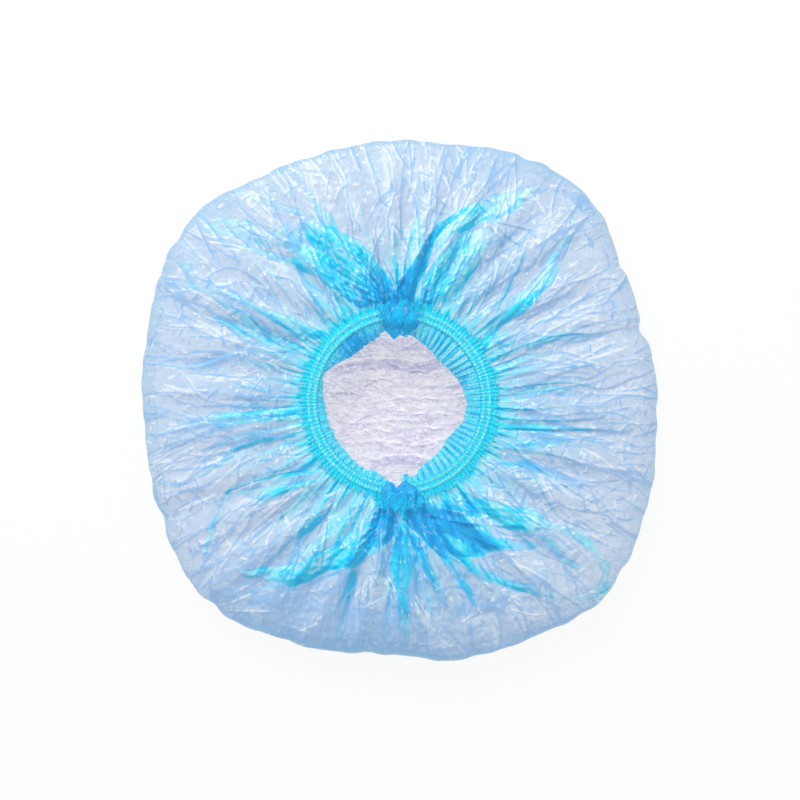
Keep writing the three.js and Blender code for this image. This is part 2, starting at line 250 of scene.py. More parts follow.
# Folds pressed into the side films. Each has the line that it follows, then at its first and last point:
# how far to each side it draws film in, how many times over it turns, and how much deeper its tint is. The
# last value is its height in millimetres.
FOLDS = (
    # Left side
    ((-54, 34, -65, 41, -77, 49, -88, 55, -104, 62, -116, 66), (3.0, 2.6), (2.4, 1.8), (0.38, 0.2), 1.0),
    ((-52, 28, -65, 33, -74, 38, -81, 45, -92, 51, -106, 60, -127, 65), (3.4, 2.8), (2.4, 1.8), (0.4, 0.2),
     1.0),
    ((-56, 22, -77, 29, -85, 36, -92, 41, -106, 45, -121, 53), (2.8, 2.4), (2.2, 1.8), (0.32, 0.2), 0.8),
    ((-79, 26, -92, 24, -106, 19, -122, 18, -138, 20), (5.0, 3.5), (1.7, 1.5), (0.22, 0.12), 1.2),
    ((-52, -3, -70, -6, -84, -8, -98, -9, -108, -9, -125, -6), (3.8, 2.6), (2.4, 1.8), (0.38, 0.2), 1.0),
    ((-52, -8, -79, -11, -95, -13, -106, -12, -122, -16, -135, -20), (3.0, 3.2), (2.4, 1.9), (0.4, 0.24),
     1.0),
    ((-54, -13, -71, -16, -88, -20, -102, -28, -115, -41, -126, -49), (2.6, 2.4), (2.2, 1.8), (0.3, 0.18),
     0.8),
    ((-51, -22, -66, -26, -84, -33, -98, -44, -108, -52), (2.4, 2.2), (2.0, 1.6), (0.26, 0.16), 0.8),
    ((-44, -38, -67, -41, -79, -44, -92, -49, -106, -53, -124, -60), (4.0, 3.0), (2.6, 2.0), (0.46, 0.28),
     1.2),
    ((-42, -42, -62, -48, -73, -54, -85, -64, -89, -71), (2.8, 2.4), (2.3, 1.8), (0.36, 0.24), 1.0),
    ((-90, -46, -98, -61, -102, -72, -102, -84), (3.2, 3.8), (2.2, 2.2), (0.34, 0.4), 1.0),
    ((-34, -46, -45, -59, -52, -67, -57, -77), (4.0, 5.0), (1.8, 2.3), (0.3, 0.5), 1.0),
    # Right side
    ((50, 44, 55, 54, 62, 68, 66, 78, 68, 89), (3.2, 3.0), (2.2, 1.8), (0.36, 0.22), 0.9),
    ((47, 93, 54, 84, 57, 70), (2.4, 2.0), (1.9, 1.5), (0.24, 0.12), 0.7),
    ((49, 94, 60, 85, 72, 78), (2.4, 2.0), (1.9, 1.5), (0.24, 0.12), 0.7),
    ((49, 95, 64, 92, 78, 88), (2.4, 2.0), (1.9, 1.5), (0.24, 0.12), 0.7),
    ((1, 60, 5, 82, 11, 106, 19, 127), (4.0, 5.0), (2.2, 1.8), (0.42, 0.18), 1.0),
    ((8, 74, 15, 86, 23, 102, 31, 118), (2.4, 2.4), (2.0, 1.7), (0.24, 0.1), 0.8),
    ((50, 22, 64, 28, 78, 33, 92, 35, 105, 35, 119, 37), (3.2, 3.2), (2.3, 1.8), (0.34, 0.24), 1.0),
    ((50, 5, 73, 8, 92, 9, 110, 6, 135, 16), (3.0, 2.6), (2.3, 1.8), (0.34, 0.18), 1.0),
    ((50, -4, 65, -5, 82, -4, 96, -2), (2.4, 2.2), (2.1, 1.7), (0.26, 0.16), 0.8),
    ((50, -15, 64, -15, 87, -16, 105, -16, 128, -19), (4.0, 3.2), (2.3, 1.8), (0.4, 0.26), 1.0),
    ((50, -9, 70, -11, 94, -11, 112, -8), (2.4, 2.2), (2.0, 1.6), (0.24, 0.14), 0.8),
    ((48, -25, 66, -27, 84, -30, 104, -38), (2.6, 2.4), (2.0, 1.7), (0.28, 0.16), 0.8),
    ((69, -36, 79, -54, 87, -64, 101, -68), (2.6, 2.4), (2.2, 1.8), (0.28, 0.2), 1.0),
    ((71, -35, 88, -46, 101, -54, 116, -61), (2.6, 2.4), (2.2, 1.8), (0.26, 0.2), 1.0),
    ((10, -58, 24, -64, 38, -66, 58, -68, 72, -66), (3.0, 2.6), (2.1, 1.8), (0.4, 0.24), 0.9),
)

# Places where the film lies several times over, or slopes. Each has its outline, which starts at the end
# that is drawn together, the tint there and at the far end, how much painted light or shade lightens or
# darkens it, and its height in millimetres.
OVERLAPS = (
    ((-2, 50, -2, 58, -6, 66, -13, 77, -21, 85, -32, 90, -42, 94, -48, 97, -54, 96, -52, 86, -54, 77, -46,
     69, -36, 62, -31, 56, -24, 50, -16, 46), 0.66, 0.56, -0.2, 1.8),
    ((-54, 96, -58, 90, -63, 81, -54, 77, -52, 86), 0.26, 0.26, -0.7, 0.6),
    ((-58, 96, -63, 81, -76, 82, -90, 87, -106, 89, -112, 93, -98, 99, -82, 97, -70, 89), 0.34, 0.26, 0.1,
     0.8),
    ((-33, 90, -40, 91, -46, 101, -51, 112, -58, 118, -62, 125, -53, 120, -50, 116, -44, 106, -36, 99),
     0.45, 0.1, -0.25, 0.6),
    ((-53, 98, -66, 102, -77, 106, -90, 112, -89, 114, -76, 109, -64, 105, -52, 102, -40, 94), 0.3, 0.14,
     -0.1, 0.5),
    ((-30, 57, -41, 67, -53, 76, -63, 78, -76, 81, -90, 86, -102, 87, -112, 91, -104, 87, -94, 82, -80, 80,
     -72, 76, -60, 71, -46, 66, -36, 59), 0.5, 0.16, -0.35, 0.8),
    ((-38, 35, -58, 45, -76, 51, -90, 59, -104, 62, -106, 59, -90, 54, -76, 47, -60, 39, -46, 32), 0.4,
     0.14, -0.15, 0.8),
    ((-50, 28, -64, 33, -76, 36, -84, 46, -86, 42, -98, 46, -113, 51, -120, 53, -106, 46, -90, 39, -76, 31,
     -60, 25), 0.34, 0.1, -0.2, 0.8),
    ((-84, 25, -90, 24, -106, 21, -121, 17, -116, 16, -104, 17, -90, 21), 0.02, 0.02, -0.7, 0.6),
    ((-120, 74, -113, 78, -108, 60, -112, 61, -116, 68), 0.25, 0.1, -0.2, 0.4),
    ((-102, 58, -111, 64, -128, 66, -126, 62, -116, 59), 0.2, 0.1, -0.45, 0.4),
    ((-1, 52, -1, 60, 3, 67, 8, 75, 13, 85, 20, 94, 29, 100, 37, 105, 35, 100, 26, 93, 19, 85, 16, 75, 13,
     67, 9, 60, 5, 51), 1.1, 0.85, -0.35, 1.4),
    ((19, 79, 20, 87, 26, 94, 35, 104, 51, 110, 64, 113, 76, 116, 80, 114, 73, 110, 66, 104, 58, 99, 51, 95,
     42, 93, 34, 90, 26, 85), 0.55, 0.32, 0.1, 1.2),
    ((79, 113, 89, 113, 98, 111, 103, 105, 106, 100, 98, 100, 93, 106, 87, 110), 0.02, 0.02, -0.65, 0.5),
    ((7, 50, 12, 60, 18, 75, 28, 85, 35, 90, 47, 93, 50, 91, 48, 84, 43, 75, 37, 65, 29, 55, 25, 48, 21, 53,
     17, 49), 0.5, 0.3, 0.05, 1.2),
    ((43, 23, 41, 29, 51, 43, 58, 52, 68, 60, 75, 67, 78, 75, 83, 84, 92, 93, 93, 89, 89, 79, 86, 71, 81,
     62, 75, 56, 70, 50, 64, 45, 54, 39, 49, 32), 0.42, 0.36, -0.1, 1.2),
    ((49, 32, 54, 39, 64, 45, 70, 50, 75, 56, 81, 62, 75, 60, 68, 56, 60, 50, 54, 44), 0.3, 0.25, -0.25,
     0.4),
    ((54, 52, 58, 62, 64, 74, 68, 85, 70, 84, 67, 75, 62, 66, 58, 57), 0.25, 0.15, -0.15, 0.4),
    ((92, 93, 91, 100, 88, 109, 91, 105, 94, 98, 94, 93), 0.25, 0.1, -0.1, 0.4),
    ((53, 17, 64, 24, 76, 34, 89, 36, 98, 35, 111, 37, 122, 40, 111, 34, 98, 31, 83, 31, 70, 26, 58, 20),
     0.34, 0.1, -0.3, 0.6),
    ((53, 1, 64, 5, 76, 9, 92, 6, 98, 4, 89, 2, 76, 2, 64, 1), 0.36, 0.2, -0.3, 0.6),
    ((99, 46, 111, 53, 124, 52, 121, 45, 109, 45), 0.02, 0.02, -0.5, 0.4),
    ((1, 64, 5, 79, 3, 89, 11, 100, 20, 107, 17, 98, 15, 89, 10, 79, 6, 70), 0.35, 0.16, 0.2, 0.8),
    ((12, 93, 15, 106, 15, 115, 17, 129, 20, 128, 19, 114, 17, 104), 0.22, 0.14, 0.1, 0.6),
    ((-2, 62, -4, 74, -3, 89, -2, 89, -1, 74, -1, 62), 0.5, 0.12, -0.2, 0.4),
    ((1, -56, -5, -52, -15, -58, -19, -66, -30, -73, -42, -81, -55, -87, -64, -88, -74, -89, -83, -91, -93,
     -83, -85, -93, -81, -96, -72, -98, -57, -100, -45, -95, -32, -90, -23, -89, -15, -83, -7, -76, -2,
     -70), 0.8, 0.4, 0.25, 1.8),
    ((-19, -54, -30, -62, -39, -70, -51, -79, -62, -88, -55, -88, -41, -80, -28, -72, -20, -66), 0.32, 0.16,
     0.2, 1),
    ((-34, -54, -43, -62, -53, -69, -57, -73, -55, -75, -47, -70, -38, -62), 0.4, 0.3, -0.3, 0.6),
    ((-96, -59, -101, -66, -104, -73, -108, -81, -105, -86, -100, -85, -102, -80, -100, -74, -98, -68),
     0.25, 0.28, -0.2, 0.6),
    ((-45, -42, -48, -43, -64, -45, -79, -47, -93, -51, -108, -55, -123, -62, -121, -63, -108, -58, -96,
     -54, -85, -51, -74, -54, -64, -51, -51, -47), 0.36, 0.1, -0.2, 0.8),
    ((-23, -88, -27, -92, -29, -98, -32, -107, -33, -117, -35, -129, -32, -130, -29, -117, -26, -107, -23,
     -97), 0.42, 0.08, -0.2, 0.6),
    ((-55, -100, -45, -96, -32, -91, -24, -89, -32, -92, -45, -98, -57, -102, -72, -100, -79, -98, -64,
     -100), 0.3, 0.2, -0.5, 0.2),
    ((-103, -111, -102, -103, -87, -99, -64, -102, -55, -106, -32, -109, -3, -115, 5, -130, 2, -139, -22,
     -137, -51, -133, -70, -128, -89, -120), 0.02, 0.02, -0.3, 0.3),
    ((-102, -109, -101, -103, -89, -101, -87, -107, -94, -110), 0.02, 0.02, -0.4, 0.3),
    ((-80, -108, -74, -105, -64, -107, -68, -110, -75, -111), 0.02, 0.02, -0.4, 0.3),
    ((-93, -120, -70, -127, -51, -133, -32, -136, -3, -136, -22, -128, -51, -124, -74, -120), 0.02, 0.02,
     -0.4, 0.3),
    ((-55, -4, -77, -6, -93, -7, -110, -10, -125, -8, -114, -13, -133, -19, -114, -15, -108, -12, -93, -12,
     -77, -10, -56, -8), 0.32, 0.1, -0.05, 0.8),
    ((-85, -15, -89, -13, -108, -15, -124, -21, -129, -29, -117, -25, -104, -19), 0.02, 0.02, -0.55, 0.6),
    ((-57, -15, -66, -17, -79, -19, -89, -24, -96, -32, -110, -40, -125, -50, -105, -41, -93, -33, -85, -27,
     -74, -22, -58, -18), 0.3, 0.1, -0.15, 0.6),
    ((-127, -63, -132, -58, -134, -49, -136, -35, -131, -47, -129, -58, -124, -62), 0.02, 0.02, -0.5, 0.3),
    ((1, -52, 16, -57, 33, -61, 46, -68, 54, -78, 44, -84, 33, -84, 20, -80, 10, -72, 2, -63), 0.9, 0.62,
     -0.15, 0.4),
    ((0, -58, 13, -62, 24, -63, 35, -63, 39, -68, 49, -73, 58, -74, 73, -76, 76, -78, 70, -80, 56, -81, 45,
     -80, 35, -76, 26, -72, 17, -70, 7, -67), 0.95, 0.5, -0.2, 1),
    ((2, -63, 17, -70, 28, -78, 37, -85, 47, -91, 58, -96, 72, -99, 86, -104, 85, -108, 72, -105, 58, -101,
     45, -97, 35, -89, 26, -81, 15, -72), 0.85, 0.36, 0, 1.2),
    ((1, -63, 15, -72, 25, -80, 31, -90, 36, -98, 40, -105, 44, -113, 39, -109, 33, -100, 26, -90, 18, -80,
     8, -71), 0.95, 0.35, -0.2, 1.2),
    ((1, -64, 8, -72, 13, -80, 17, -89, 21, -97, 25, -105, 26, -111, 22, -108, 17, -99, 12, -89, 8, -80, 4,
     -72), 0.85, 0.12, -0.25, 1),
    ((0, -66, 4, -72, 6, -78, 6, -88, 5, -100, 6, -111, 6, -124, 5, -132, 1, -130, -1, -121, -2, -102, -5,
     -88, -3, -76), 0.6, 0.26, -0.15, 1),
    ((9, -56, 20, -54, 32, -49, 47, -54, 62, -57, 75, -60, 81, -66, 79, -70, 72, -73, 64, -72, 54, -68, 45,
     -62, 35, -62, 24, -62, 12, -61), 0.66, 0.46, 0.1, 1.4),
    ((74, -61, 81, -65, 92, -67, 101, -72, 108, -81, 113, -89, 112, -98, 108, -104, 106, -101, 109, -92,
     103, -83, 96, -77, 89, -72, 79, -69), 0.42, 0.36, 0.1, 0.5),
    ((26, -63, 33, -62, 39, -66, 36, -70, 28, -68), 0.3, 0.3, -0.9, 0.2),
    ((51, -84, 62, -83, 75, -84, 81, -90, 72, -94, 60, -93, 52, -89), 0.02, 0.02, 0.4, 0.5),
    ((71, -36, 85, -46, 99, -52, 112, -58, 119, -66, 108, -72, 97, -66, 87, -58, 78, -48), 0.02, 0.02, 0.3,
     0.6),
    ((115, -98, 112, -104, 102, -107, 86, -108, 84, -105, 99, -103, 108, -98), 0.3, 0.16, 0.1, 0.5),
    ((72, -71, 79, -72, 85, -77, 90, -84, 97, -89, 97, -92, 90, -89, 83, -83, 76, -77), 0.3, 0.3, -0.35,
     0.5),
    ((53, -13, 70, -12, 97, -15, 111, -14, 126, -17, 121, -19, 109, -17, 97, -17, 73, -17, 58, -17), 0.34,
     0.1, -0.25, 0.6),
    ((51, -24, 70, -20, 87, -20, 104, -22, 119, -29, 102, -25, 83, -25, 66, -27), 0.3, 0.08, -0.05, 0.5),
    ((51, -34, 66, -32, 81, -35, 92, -42, 100, -49, 90, -45, 79, -40, 66, -37), 0.26, 0.08, -0.5, 0.4),
    ((119, -20, 126, -22, 125, -35, 124, -51, 120, -38), 0.02, 0.02, -0.4, 0.3),
    ((43, -109, 54, -107, 56, -103, 58, -109, 54, -114, 45, -113), 0.02, 0.02, -0.55, 0.3),
    ((-2, -143, -1, -134, 7, -135, 26, -138, 51, -132, 64, -125, 83, -120, 105, -110, 108, -112, 83, -126,
     54, -137, 26, -143), 0.02, 0.02, -0.45, 0.3),
    ((-23, -101, -18, -93, -9, -92, -5, -98, -4, -107, -9, -113, -18, -112, -23, -107), 0.02, 0.02, 0.45,
     0.5),
    ((6, -103, 10, -104, 20, -125, 15, -124, 8, -115), 0.02, 0.02, 0.6, 0.4),
    ((32, -120, 45, -113, 51, -120, 43, -121), 0.02, 0.02, 0.5, 0.3),
    ((56, -110, 64, -105, 66, -110, 59, -114), 0.02, 0.02, 0.5, 0.3),
    ((25, -113, 34, -109, 35, -115, 28, -117), 0.02, 0.02, -0.5, 0.3),
    ((0, 122, 7, 112, -4, 109, -21, 98, -8, 112), 0.02, 0.02, -0.4, 0.4),
    ((83, -109, 98, -105, 109, -103, 116, -98, 110, -109, 102, -110), 0.12, 0.12, 0.2, 0.3),
)

# Long creases with a strong painted highlight line
BRIGHT_CREASES = (
    (-100, -112, -87, -108, -79, -104, -71, -100), (-94, -114, -74, -114, -60, -113), (-60, -127, -47, -122,
    -41, -116, -36, -110), (-34, -130, -29, -120, -28, -109), (-52, -101, -46, -103, -39, -100), (-24, -106,
    -18, -99, -12, -93), (-20, -112, -12, -108, -5, -104), (-8, -94, -4, -101, -5, -109), (7, -103, 12,
    -113, 20, -125), (3, -130, 13, -132, 22, -130, 31, -129), (32, -120, 39, -116, 46, -113), (56, -110, 61,
    -106, 66, -105), (-9, 137, -6, 125, -8, 113, -18, 102), (-51, 131, -42, 119, -36, 108), (20, 123, 26,
    112, 32, 102), (66, 112, 74, 104, 78, 96), (-117, 60, -100, 52, -84, 40, -70, 33), (-128, 8, -114, 4,
    -98, 5), (-120, -60, -106, -55, -92, -47), (-96, -68, -92, -78, -84, -86), (-66, -64, -72, -74, -72,
    -84), (-80, -60, -68, -56, -54, -52), (72, -38, 80, -52, 90, -63, 100, -70), (84, -46, 98, -54, 108,
    -62), (96, -26, 110, -34, 119, -44), (-124, -96, -112, -104, -104, -114), (60, -88, 70, -92, 78, -99),
    (96, 20, 112, 24, 128, 30), (86, 60, 100, 66, 112, 76), (-104, 84, -90, 82, -76, 78), (-74, 18, -90, 12,
    -106, 11), (58, -112, 72, -116, 86, -113),
)

# Folds that run across the crown film: the line, how far each is below and above it, and its depth
CROWN_FOLDS = (
    ((-40, 14, -28, 18, -16, 20, 0, 19.5, 10, 18, 20, 20.5, 34, 25), 3.6, 2.2, 0.6),
    ((-34, 27, -14, 29, 0, 30, 14, 29, 34, 28), 6.0, 4.0, 0.3),
    ((-22, 24, -8, 25.5, 6, 25, 20, 26), 0.2, 0.9, -0.5),
    ((-40, 4, -32, 4, -25, 4.5, -18, 8, -12, 11), 1.0, 0.5, 0.5),
    ((8, 8, 18, 7.5, 30, 8, 38, 11), 1.0, 0.5, 0.4),
    ((-18, -35, -8, -32.5, 2, -31.5, 10, -32.5, 18, -35), 3.2, 1.6, 0.55),
    ((-36, -12, -20, -13, -4, -11, 12, -12), 0.7, 0.4, 0.25),
    ((-30, -24, -10, -23, 10, -25, 30, -20), 0.9, 0.5, 0.3),
    ((-8, 0, 8, 1, 24, 0, 38, 2), 0.7, 0.4, 0.25),
    ((-30, 12, -14, 11, 4, 13), 0.7, 0.4, 0.2),
    ((-2, -6, 12, -8, 26, -7), 0.6, 0.4, 0.25),
)

# Wide soft places where the side films are a little denser and in painted shade, or thinner and in painted
# light: x, y, spread and amount
DENSE_AND_SHADED_SPOTS = (
    (-30, -112, 40, 0.14), (20, -120, 45, 0.12), (-75, -100, 30, 0.12), (70, -105, 30, 0.08), (75, -20, 45,
    0.08), (-70, 0, 45, 0.04), (-20, 122, 50, -0.06), (60, 126, 30, 0.04), (60, 70, 35, 0.05), (110, 60, 30,
    -0.04), (-100, -60, 30, -0.02),
)

# The hem's closed section, outwards from the ring between the strands and up, in millimetres
HEM_SECTION = np.array((
    (7.6, 0.5), (5.2, 0.75), (3.5, 0.9), (2.7, 1.5), (1.8, 1.75), (0.9, 1.5), (0, 1.2), (-0.9, 1.5),
    (-1.8, 1.75), (-2.7, 1.5), (-3.3, 0.6), (-3.3, -0.6), (-2.6, -1.4), (-0.9, -1.4), (0.9, -1.4),
    (2.6, -1.4), (3.4, -0.6), (5.2, 0.15), (7.6, 0.2),
))
# An end seal's stations: share of its length, half width and half height in millimetres
SEAL_STATIONS = (
    (0, 3, 0.2), (0.05, 6, 0.6), (0.15, 9, 1.1), (0.35, 12, 1.5), (0.5, 13, 1.7), (0.65, 12.5, 1.6),
    (0.8, 10, 1.2), (0.92, 6, 0.7), (1, 0.2, 0.2),
)


class CapSizes(bpy.types.PropertyGroup):
    """Sizes of the cap as it lies."""

    cap_radius: bpy.props.FloatProperty(
        name="Cap radius", description="Radius that the outline's shares are taken of",
        default=0.1432, min=0.05, unit="LENGTH", subtype="DISTANCE")
    crest_height: bpy.props.FloatProperty(
        name="Crest height", description="Height of the film between the mouth and the edge",
        default=0.034, min=0.01, unit="LENGTH", subtype="DISTANCE")
    edge_height: bpy.props.FloatProperty(
        name="Edge height", description="Height at which the film turns under at the edge",
        default=0.006, min=0.002, unit="LENGTH", subtype="DISTANCE")
    mouth_radius: bpy.props.FloatProperty(
        name="Mouth radius", description="Radius of the elastic's middle line",
        default=0.0468, min=0.02, unit="LENGTH", subtype="DISTANCE")
    mouth_height: bpy.props.FloatProperty(
        name="Mouth height", description="Height of the elastic above the surface",
        default=sum(c[2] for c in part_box("left_outer_elastic")) / 2, min=0.005,
        unit="LENGTH", subtype="DISTANCE")
    strand_radius: bpy.props.FloatProperty(
        name="Strand radius", description="Radius of one of the two elastic strands",
        default=0.00075, min=0.0003, unit="LENGTH", subtype="DISTANCE")
    strand_pitch: bpy.props.FloatProperty(
        name="Strand pitch", description="Distance between the two strands",
        default=0.0031, min=0.001, unit="LENGTH", subtype="DISTANCE")
    crumple_height: bpy.props.FloatProperty(
        name="Crumple height", description="Height of the film's crumpled facets",
        default=0.0006, min=0.0, unit="LENGTH", subtype="DISTANCE")
    gathers: bpy.props.IntProperty(
        name="Gathers a side", description="Number of gathers along each side of the mouth",
        default=76, min=20)


class CapColours(bpy.types.PropertyGroup):
    """Colours of the film, from where it lies single to where it is bunched."""

    single: bpy.props.FloatVectorProperty(
        name="Single film", description="Tint of one layer of film",
        default=(0.09, 0.47, 0.75), size=3, min=0, max=1, subtype="COLOR")
    shadow: bpy.props.FloatVectorProperty(
        name="Film in shade", description="Tint of creases and slopes that face away from the main lamp",
        default=(0.09, 0.39, 0.80), size=3, min=0, max=1, subtype="COLOR")
    folded: bpy.props.FloatVectorProperty(
        name="Folded film", description="Tint where the film lies several times over",
        default=(0.0, 0.75, 0.94), size=3, min=0, max=1, subtype="COLOR")
    bunched: bpy.props.FloatVectorProperty(
        name="Bunched film", description="Tint where the film is bunched tight",
        default=(0.0, 0.47, 0.86), size=3, min=0, max=1, subtype="COLOR")
    tightest: bpy.props.FloatVectorProperty(
        name="Tightest film", description="Tint in the knots at the two ends of the mouth",
        default=(0.0, 0.35, 0.73), size=3, min=0, max=1, subtype="COLOR")
    crown: bpy.props.FloatVectorProperty(
        name="Crown film", description="Tint of the crown film, seen through the mouth",
        default=(0.36, 0.32, 0.66), size=3, min=0, max=1, subtype="COLOR")
    elastic: bpy.props.FloatVectorProperty(
        name="Elastic", description="Colour of the rubber strands",
        default=(0.35, 0.92, 0.97), size=3, min=0, max=1, subtype="COLOR")


class StageSettings(bpy.types.PropertyGroup):
    """The studio round the cap."""

    camera_height: bpy.props.FloatProperty(
        name="Camera height", description="Height of the camera above the cap's edge",
        default=1.8, min=0.5, unit="LENGTH", subtype="DISTANCE")
    view_width: bpy.props.FloatProperty(
        name="View width", description="Width of the view at the cap's edge",
        default=0.4324, min=0.1, unit="LENGTH", subtype="DISTANCE")
    main_power: bpy.props.FloatProperty(
        name="Main lamp", description="Power of the large soft lamp",
        default=10.6, min=0, unit="POWER")
    glint_power: bpy.props.FloatProperty(
        name="Glint lamps", description="Power of each low lamp that brings out glints",
        default=1.2, min=0, unit="POWER")
    sky: bpy.props.FloatProperty(
        name="Sky", description="Strength of the even light from all round",
        default=0.44, min=0)


# Curves and noise


def smooth(low, high, value):
    """0 below low, 1 above high, and 3t^2 - 2t^3 between; low may be the larger of the two."""
    t = np.clip((value - low) / (high - low), 0, 1)
    return t * t * (3 - 2 * t)


def bell(value, width):
    """The bell curve exp(-(value / width)^2)."""
    return np.exp(-((value / width) ** 2))


def from_to(first, last, share):
    """A value that runs evenly from the first to the last."""
    return first + (last - first) * share


def round_table(table, angle):
    """The Catmull-Rom curve through values that are evenly spaced round from +X, at an angle."""
    values = np.asarray(table, float)
    count = len(values)
    place = angle / TAU * count % count
    i = np.floor(place).astype(int)
    f = place - i
    a, b, c, d = (values[(i + k) % count] for k in (-1, 0, 1, 2))
    return b + 0.5 * f * (c - a + f * (2 * a - 5 * b + 4 * c - d + f * (3 * (b - c) + d - a)))


def line_through(points, steps=6):
    """The Catmull-Rom line through open points, given as x and y in turn, at steps places a span. A point
    past each end carries on the end span."""
    p = np.asarray(points, float).reshape(-1, 2)
    p = np.vstack((2 * p[0] - p[1], p, 2 * p[-1] - p[-2]))
    f = (np.arange(steps) / steps)[None, :, None]
    a, b, c, d = (p[k:len(p) - 3 + k][:, None, :] for k in range(4))
    spans = b + 0.5 * f * (c - a + f * (2 * a - 5 * b + 4 * c - d + f * (3 * (b - c) + d - a)))
    return np.vstack((spans.reshape(-1, 2), p[-2]))


def swells(x, y, length, seed, waves=14):
    """Smooth noise of about that wave length: a sum of cos(k.x + phase) over seeded directions, over the root
    of their number."""
    rng = np.random.default_rng(seed)
    turns, phases = rng.uniform(0, TAU, waves), rng.uniform(0, TAU, waves)
    paces = rng.uniform(0.65, 1.45, waves)
    total = 0
    for turn, phase, pace in zip(turns, phases, paces):
        k = TAU / length * pace
        total = total + np.cos(k * (x * math.cos(turn) + y * math.sin(turn)) + phase)
    return total / math.sqrt(waves)


def drift(place, length, seed):
    """Smooth noise along one line."""
    return swells(place, 0 * place, length, seed)


def creases(x, y, length, seed):
    """Noise with sharp ridges: 1 less the size of swells, on places that wander with wider swells."""
    wander = 0.35 * length
    u = x + wander * swells(x, y, 1.7 * length, seed + 1)
    v = y + wander * swells(x, y, 1.7 * length, seed + 2)
    return 1 - np.abs(swells(u, v, 2 * length, seed))


def crinkle(x, y, seed, sets, shortest, longest):
    """A crumpled sheet's height and its crease lines. Each of its sets of creases is a triangle wave of a
    seeded length and direction, in seeded patches of its own, so flat facets meet in straight creases."""
    rng = np.random.default_rng(seed)
    height, lines = np.zeros(x.shape), np.zeros(x.shape)
    for number in range(sets):
        length = shortest * (longest / shortest) ** rng.uniform()
        turn = rng.uniform(0, math.pi)
        bent = 0.3 * length * swells(x, y, 5 * length, seed * 97 + number, waves=5)
        phase = (x * math.cos(turn) + y * math.sin(turn) + bent) / length + rng.uniform()
        part = np.abs(phase % 1 - 0.5)
        patch = smooth(0.35, 0.6, swells(x, y, 2.6 * length, seed * 89 + number, waves=7))
        height += patch * length * 0.2 * (2 * part - 0.5)
        from_crease = np.minimum(part, 0.5 - part) * length
        lines = np.maximum(lines, patch * bell(from_crease, CREASE_WIDTH) * rng.uniform(0.2, 1))
    return height, lines


def beside(line, x, y):
    """For each place, how far along a line its nearest point is, from 0 to 1, the distance to its left, and
    the direction to its left."""
    a, b = line[:-1], line[1:]
    along = b - a
    lengths = np.hypot(along[:, 0], along[:, 1])
    lefts = np.stack((-along[:, 1], along[:, 0]), 1) / lengths[:, None]
    bends = np.vstack((lefts[0], lefts[:-1] + lefts[1:], lefts[-1]))
    bends /= np.hypot(bends[:, 0], bends[:, 1])[:, None]
    starts = np.concatenate(([0], np.cumsum(lengths)))
    best = np.full(x.shape, FAR)
    share, offset, left_x, left_y = (np.zeros(x.shape) for _ in range(4))
    for k in range(len(a)):
        px, py = x - a[k, 0], y - a[k, 1]
        t = np.clip((px * along[k, 0] + py * along[k, 1]) / lengths[k] ** 2, 0, 1)
        gap = np.hypot(px - t * along[k, 0], py - t * along[k, 1])
        near = gap < best
        best = np.where(near, gap, best)
        share = np.where(near, (starts[k] + t * lengths[k]) / starts[-1], share)
        offset = np.where(near, gap * np.sign(px * lefts[k, 0] + py * lefts[k, 1] + TINY), offset)
        left_x = np.where(near, from_to(bends[k, 0], bends[k + 1, 0], t), left_x)
        left_y = np.where(near, from_to(bends[k, 1], bends[k + 1, 1], t), left_y)
    return share, offset, left_x, left_y


def within(line, reach, x, y):
    """Which places lie in the box round a line that is wider by a reach on every side."""
    low, high = line.min(0) - reach, line.max(0) + reach
    return (x > low[0]) & (x < high[0]) & (y > low[1]) & (y < high[1])


def near_line(points, reach, x, y, steps=6):
    """Which places lie about a line through points, and what beside() says of those."""
    line = line_through(points, steps)
    near = within(line, reach, x, y)
    return near, *beside(line, x[near], y[near])


def depth_inside(outline, x, y):
    """How far places lie inside a closed outline, and below 0 how far outside it."""
    inside, gap = np.zeros(x.shape, bool), np.full(x.shape, FAR)
    for (ax, ay), (bx, by) in zip(outline, np.roll(outline, -1, 0)):
        size = max((bx - ax) ** 2 + (by - ay) ** 2, 1e-9)
        t = np.clip(((x - ax) * (bx - ax) + (y - ay) * (by - ay)) / size, 0, 1)
        gap = np.minimum(gap, np.hypot(x - ax - t * (bx - ax), y - ay - t * (by - ay)))
        if ay != by:
            inside ^= ((ay > y) != (by > y)) & (x < (bx - ax) * (y - ay) / (by - ay) + ax)
    return np.where(inside, gap, -gap)


# The cap's own curves


def edge_reach(angle):
    """Distance of the cap's edge from its middle: the outline's shares of the cap's radius, less a bell curve
    for each notch, with small corners and ripples."""
    reach = bpy.context.scene.cap_sizes.cap_radius * round_table(OUTLINE_SHARES, angle)
    for turn, depth, width in EDGE_NOTCHES:
        off = (np.degrees(angle) - turn + 180) % 360 - 180
        reach = reach - depth * MM * bell(off, width)
    corners = np.arcsin(np.sin(13 * angle + 1.5 * np.sin(3 * angle)))
    corners = corners + 0.6 * np.arcsin(np.sin(31 * angle + 2 * np.sin(7 * angle)))
    return reach + MM * (0.45 * corners + 0.2 * np.sin(61 * angle + 1.3))


def around(middle, angle, radius):
    """x and y of places round a middle."""
    return middle[0] + radius * np.cos(angle), middle[1] + radius * np.sin(angle)


def film_height(out):
    """Height of the side film at a share of the way from the mouth to the edge: a flattened dome with a dip
    round the mouth."""
    sizes = bpy.context.scene.cap_sizes
    dome = np.maximum(1 - out ** 3.2, 0) ** 0.55
    dip = (sizes.crest_height - sizes.mouth_height) * bell(out, 0.3)
    return sizes.edge_height + (sizes.crest_height - sizes.edge_height) * dome - dip


def film_swell(angle, out):
    """Broad swells of the side film at an angle and a share of the way from the mouth to the edge."""
    inner, outer = (round_table(table, angle) for table in (INNER_SWELLS, OUTER_SWELLS))
    return MM * from_to(inner, outer, out) * np.sin(math.pi * out)


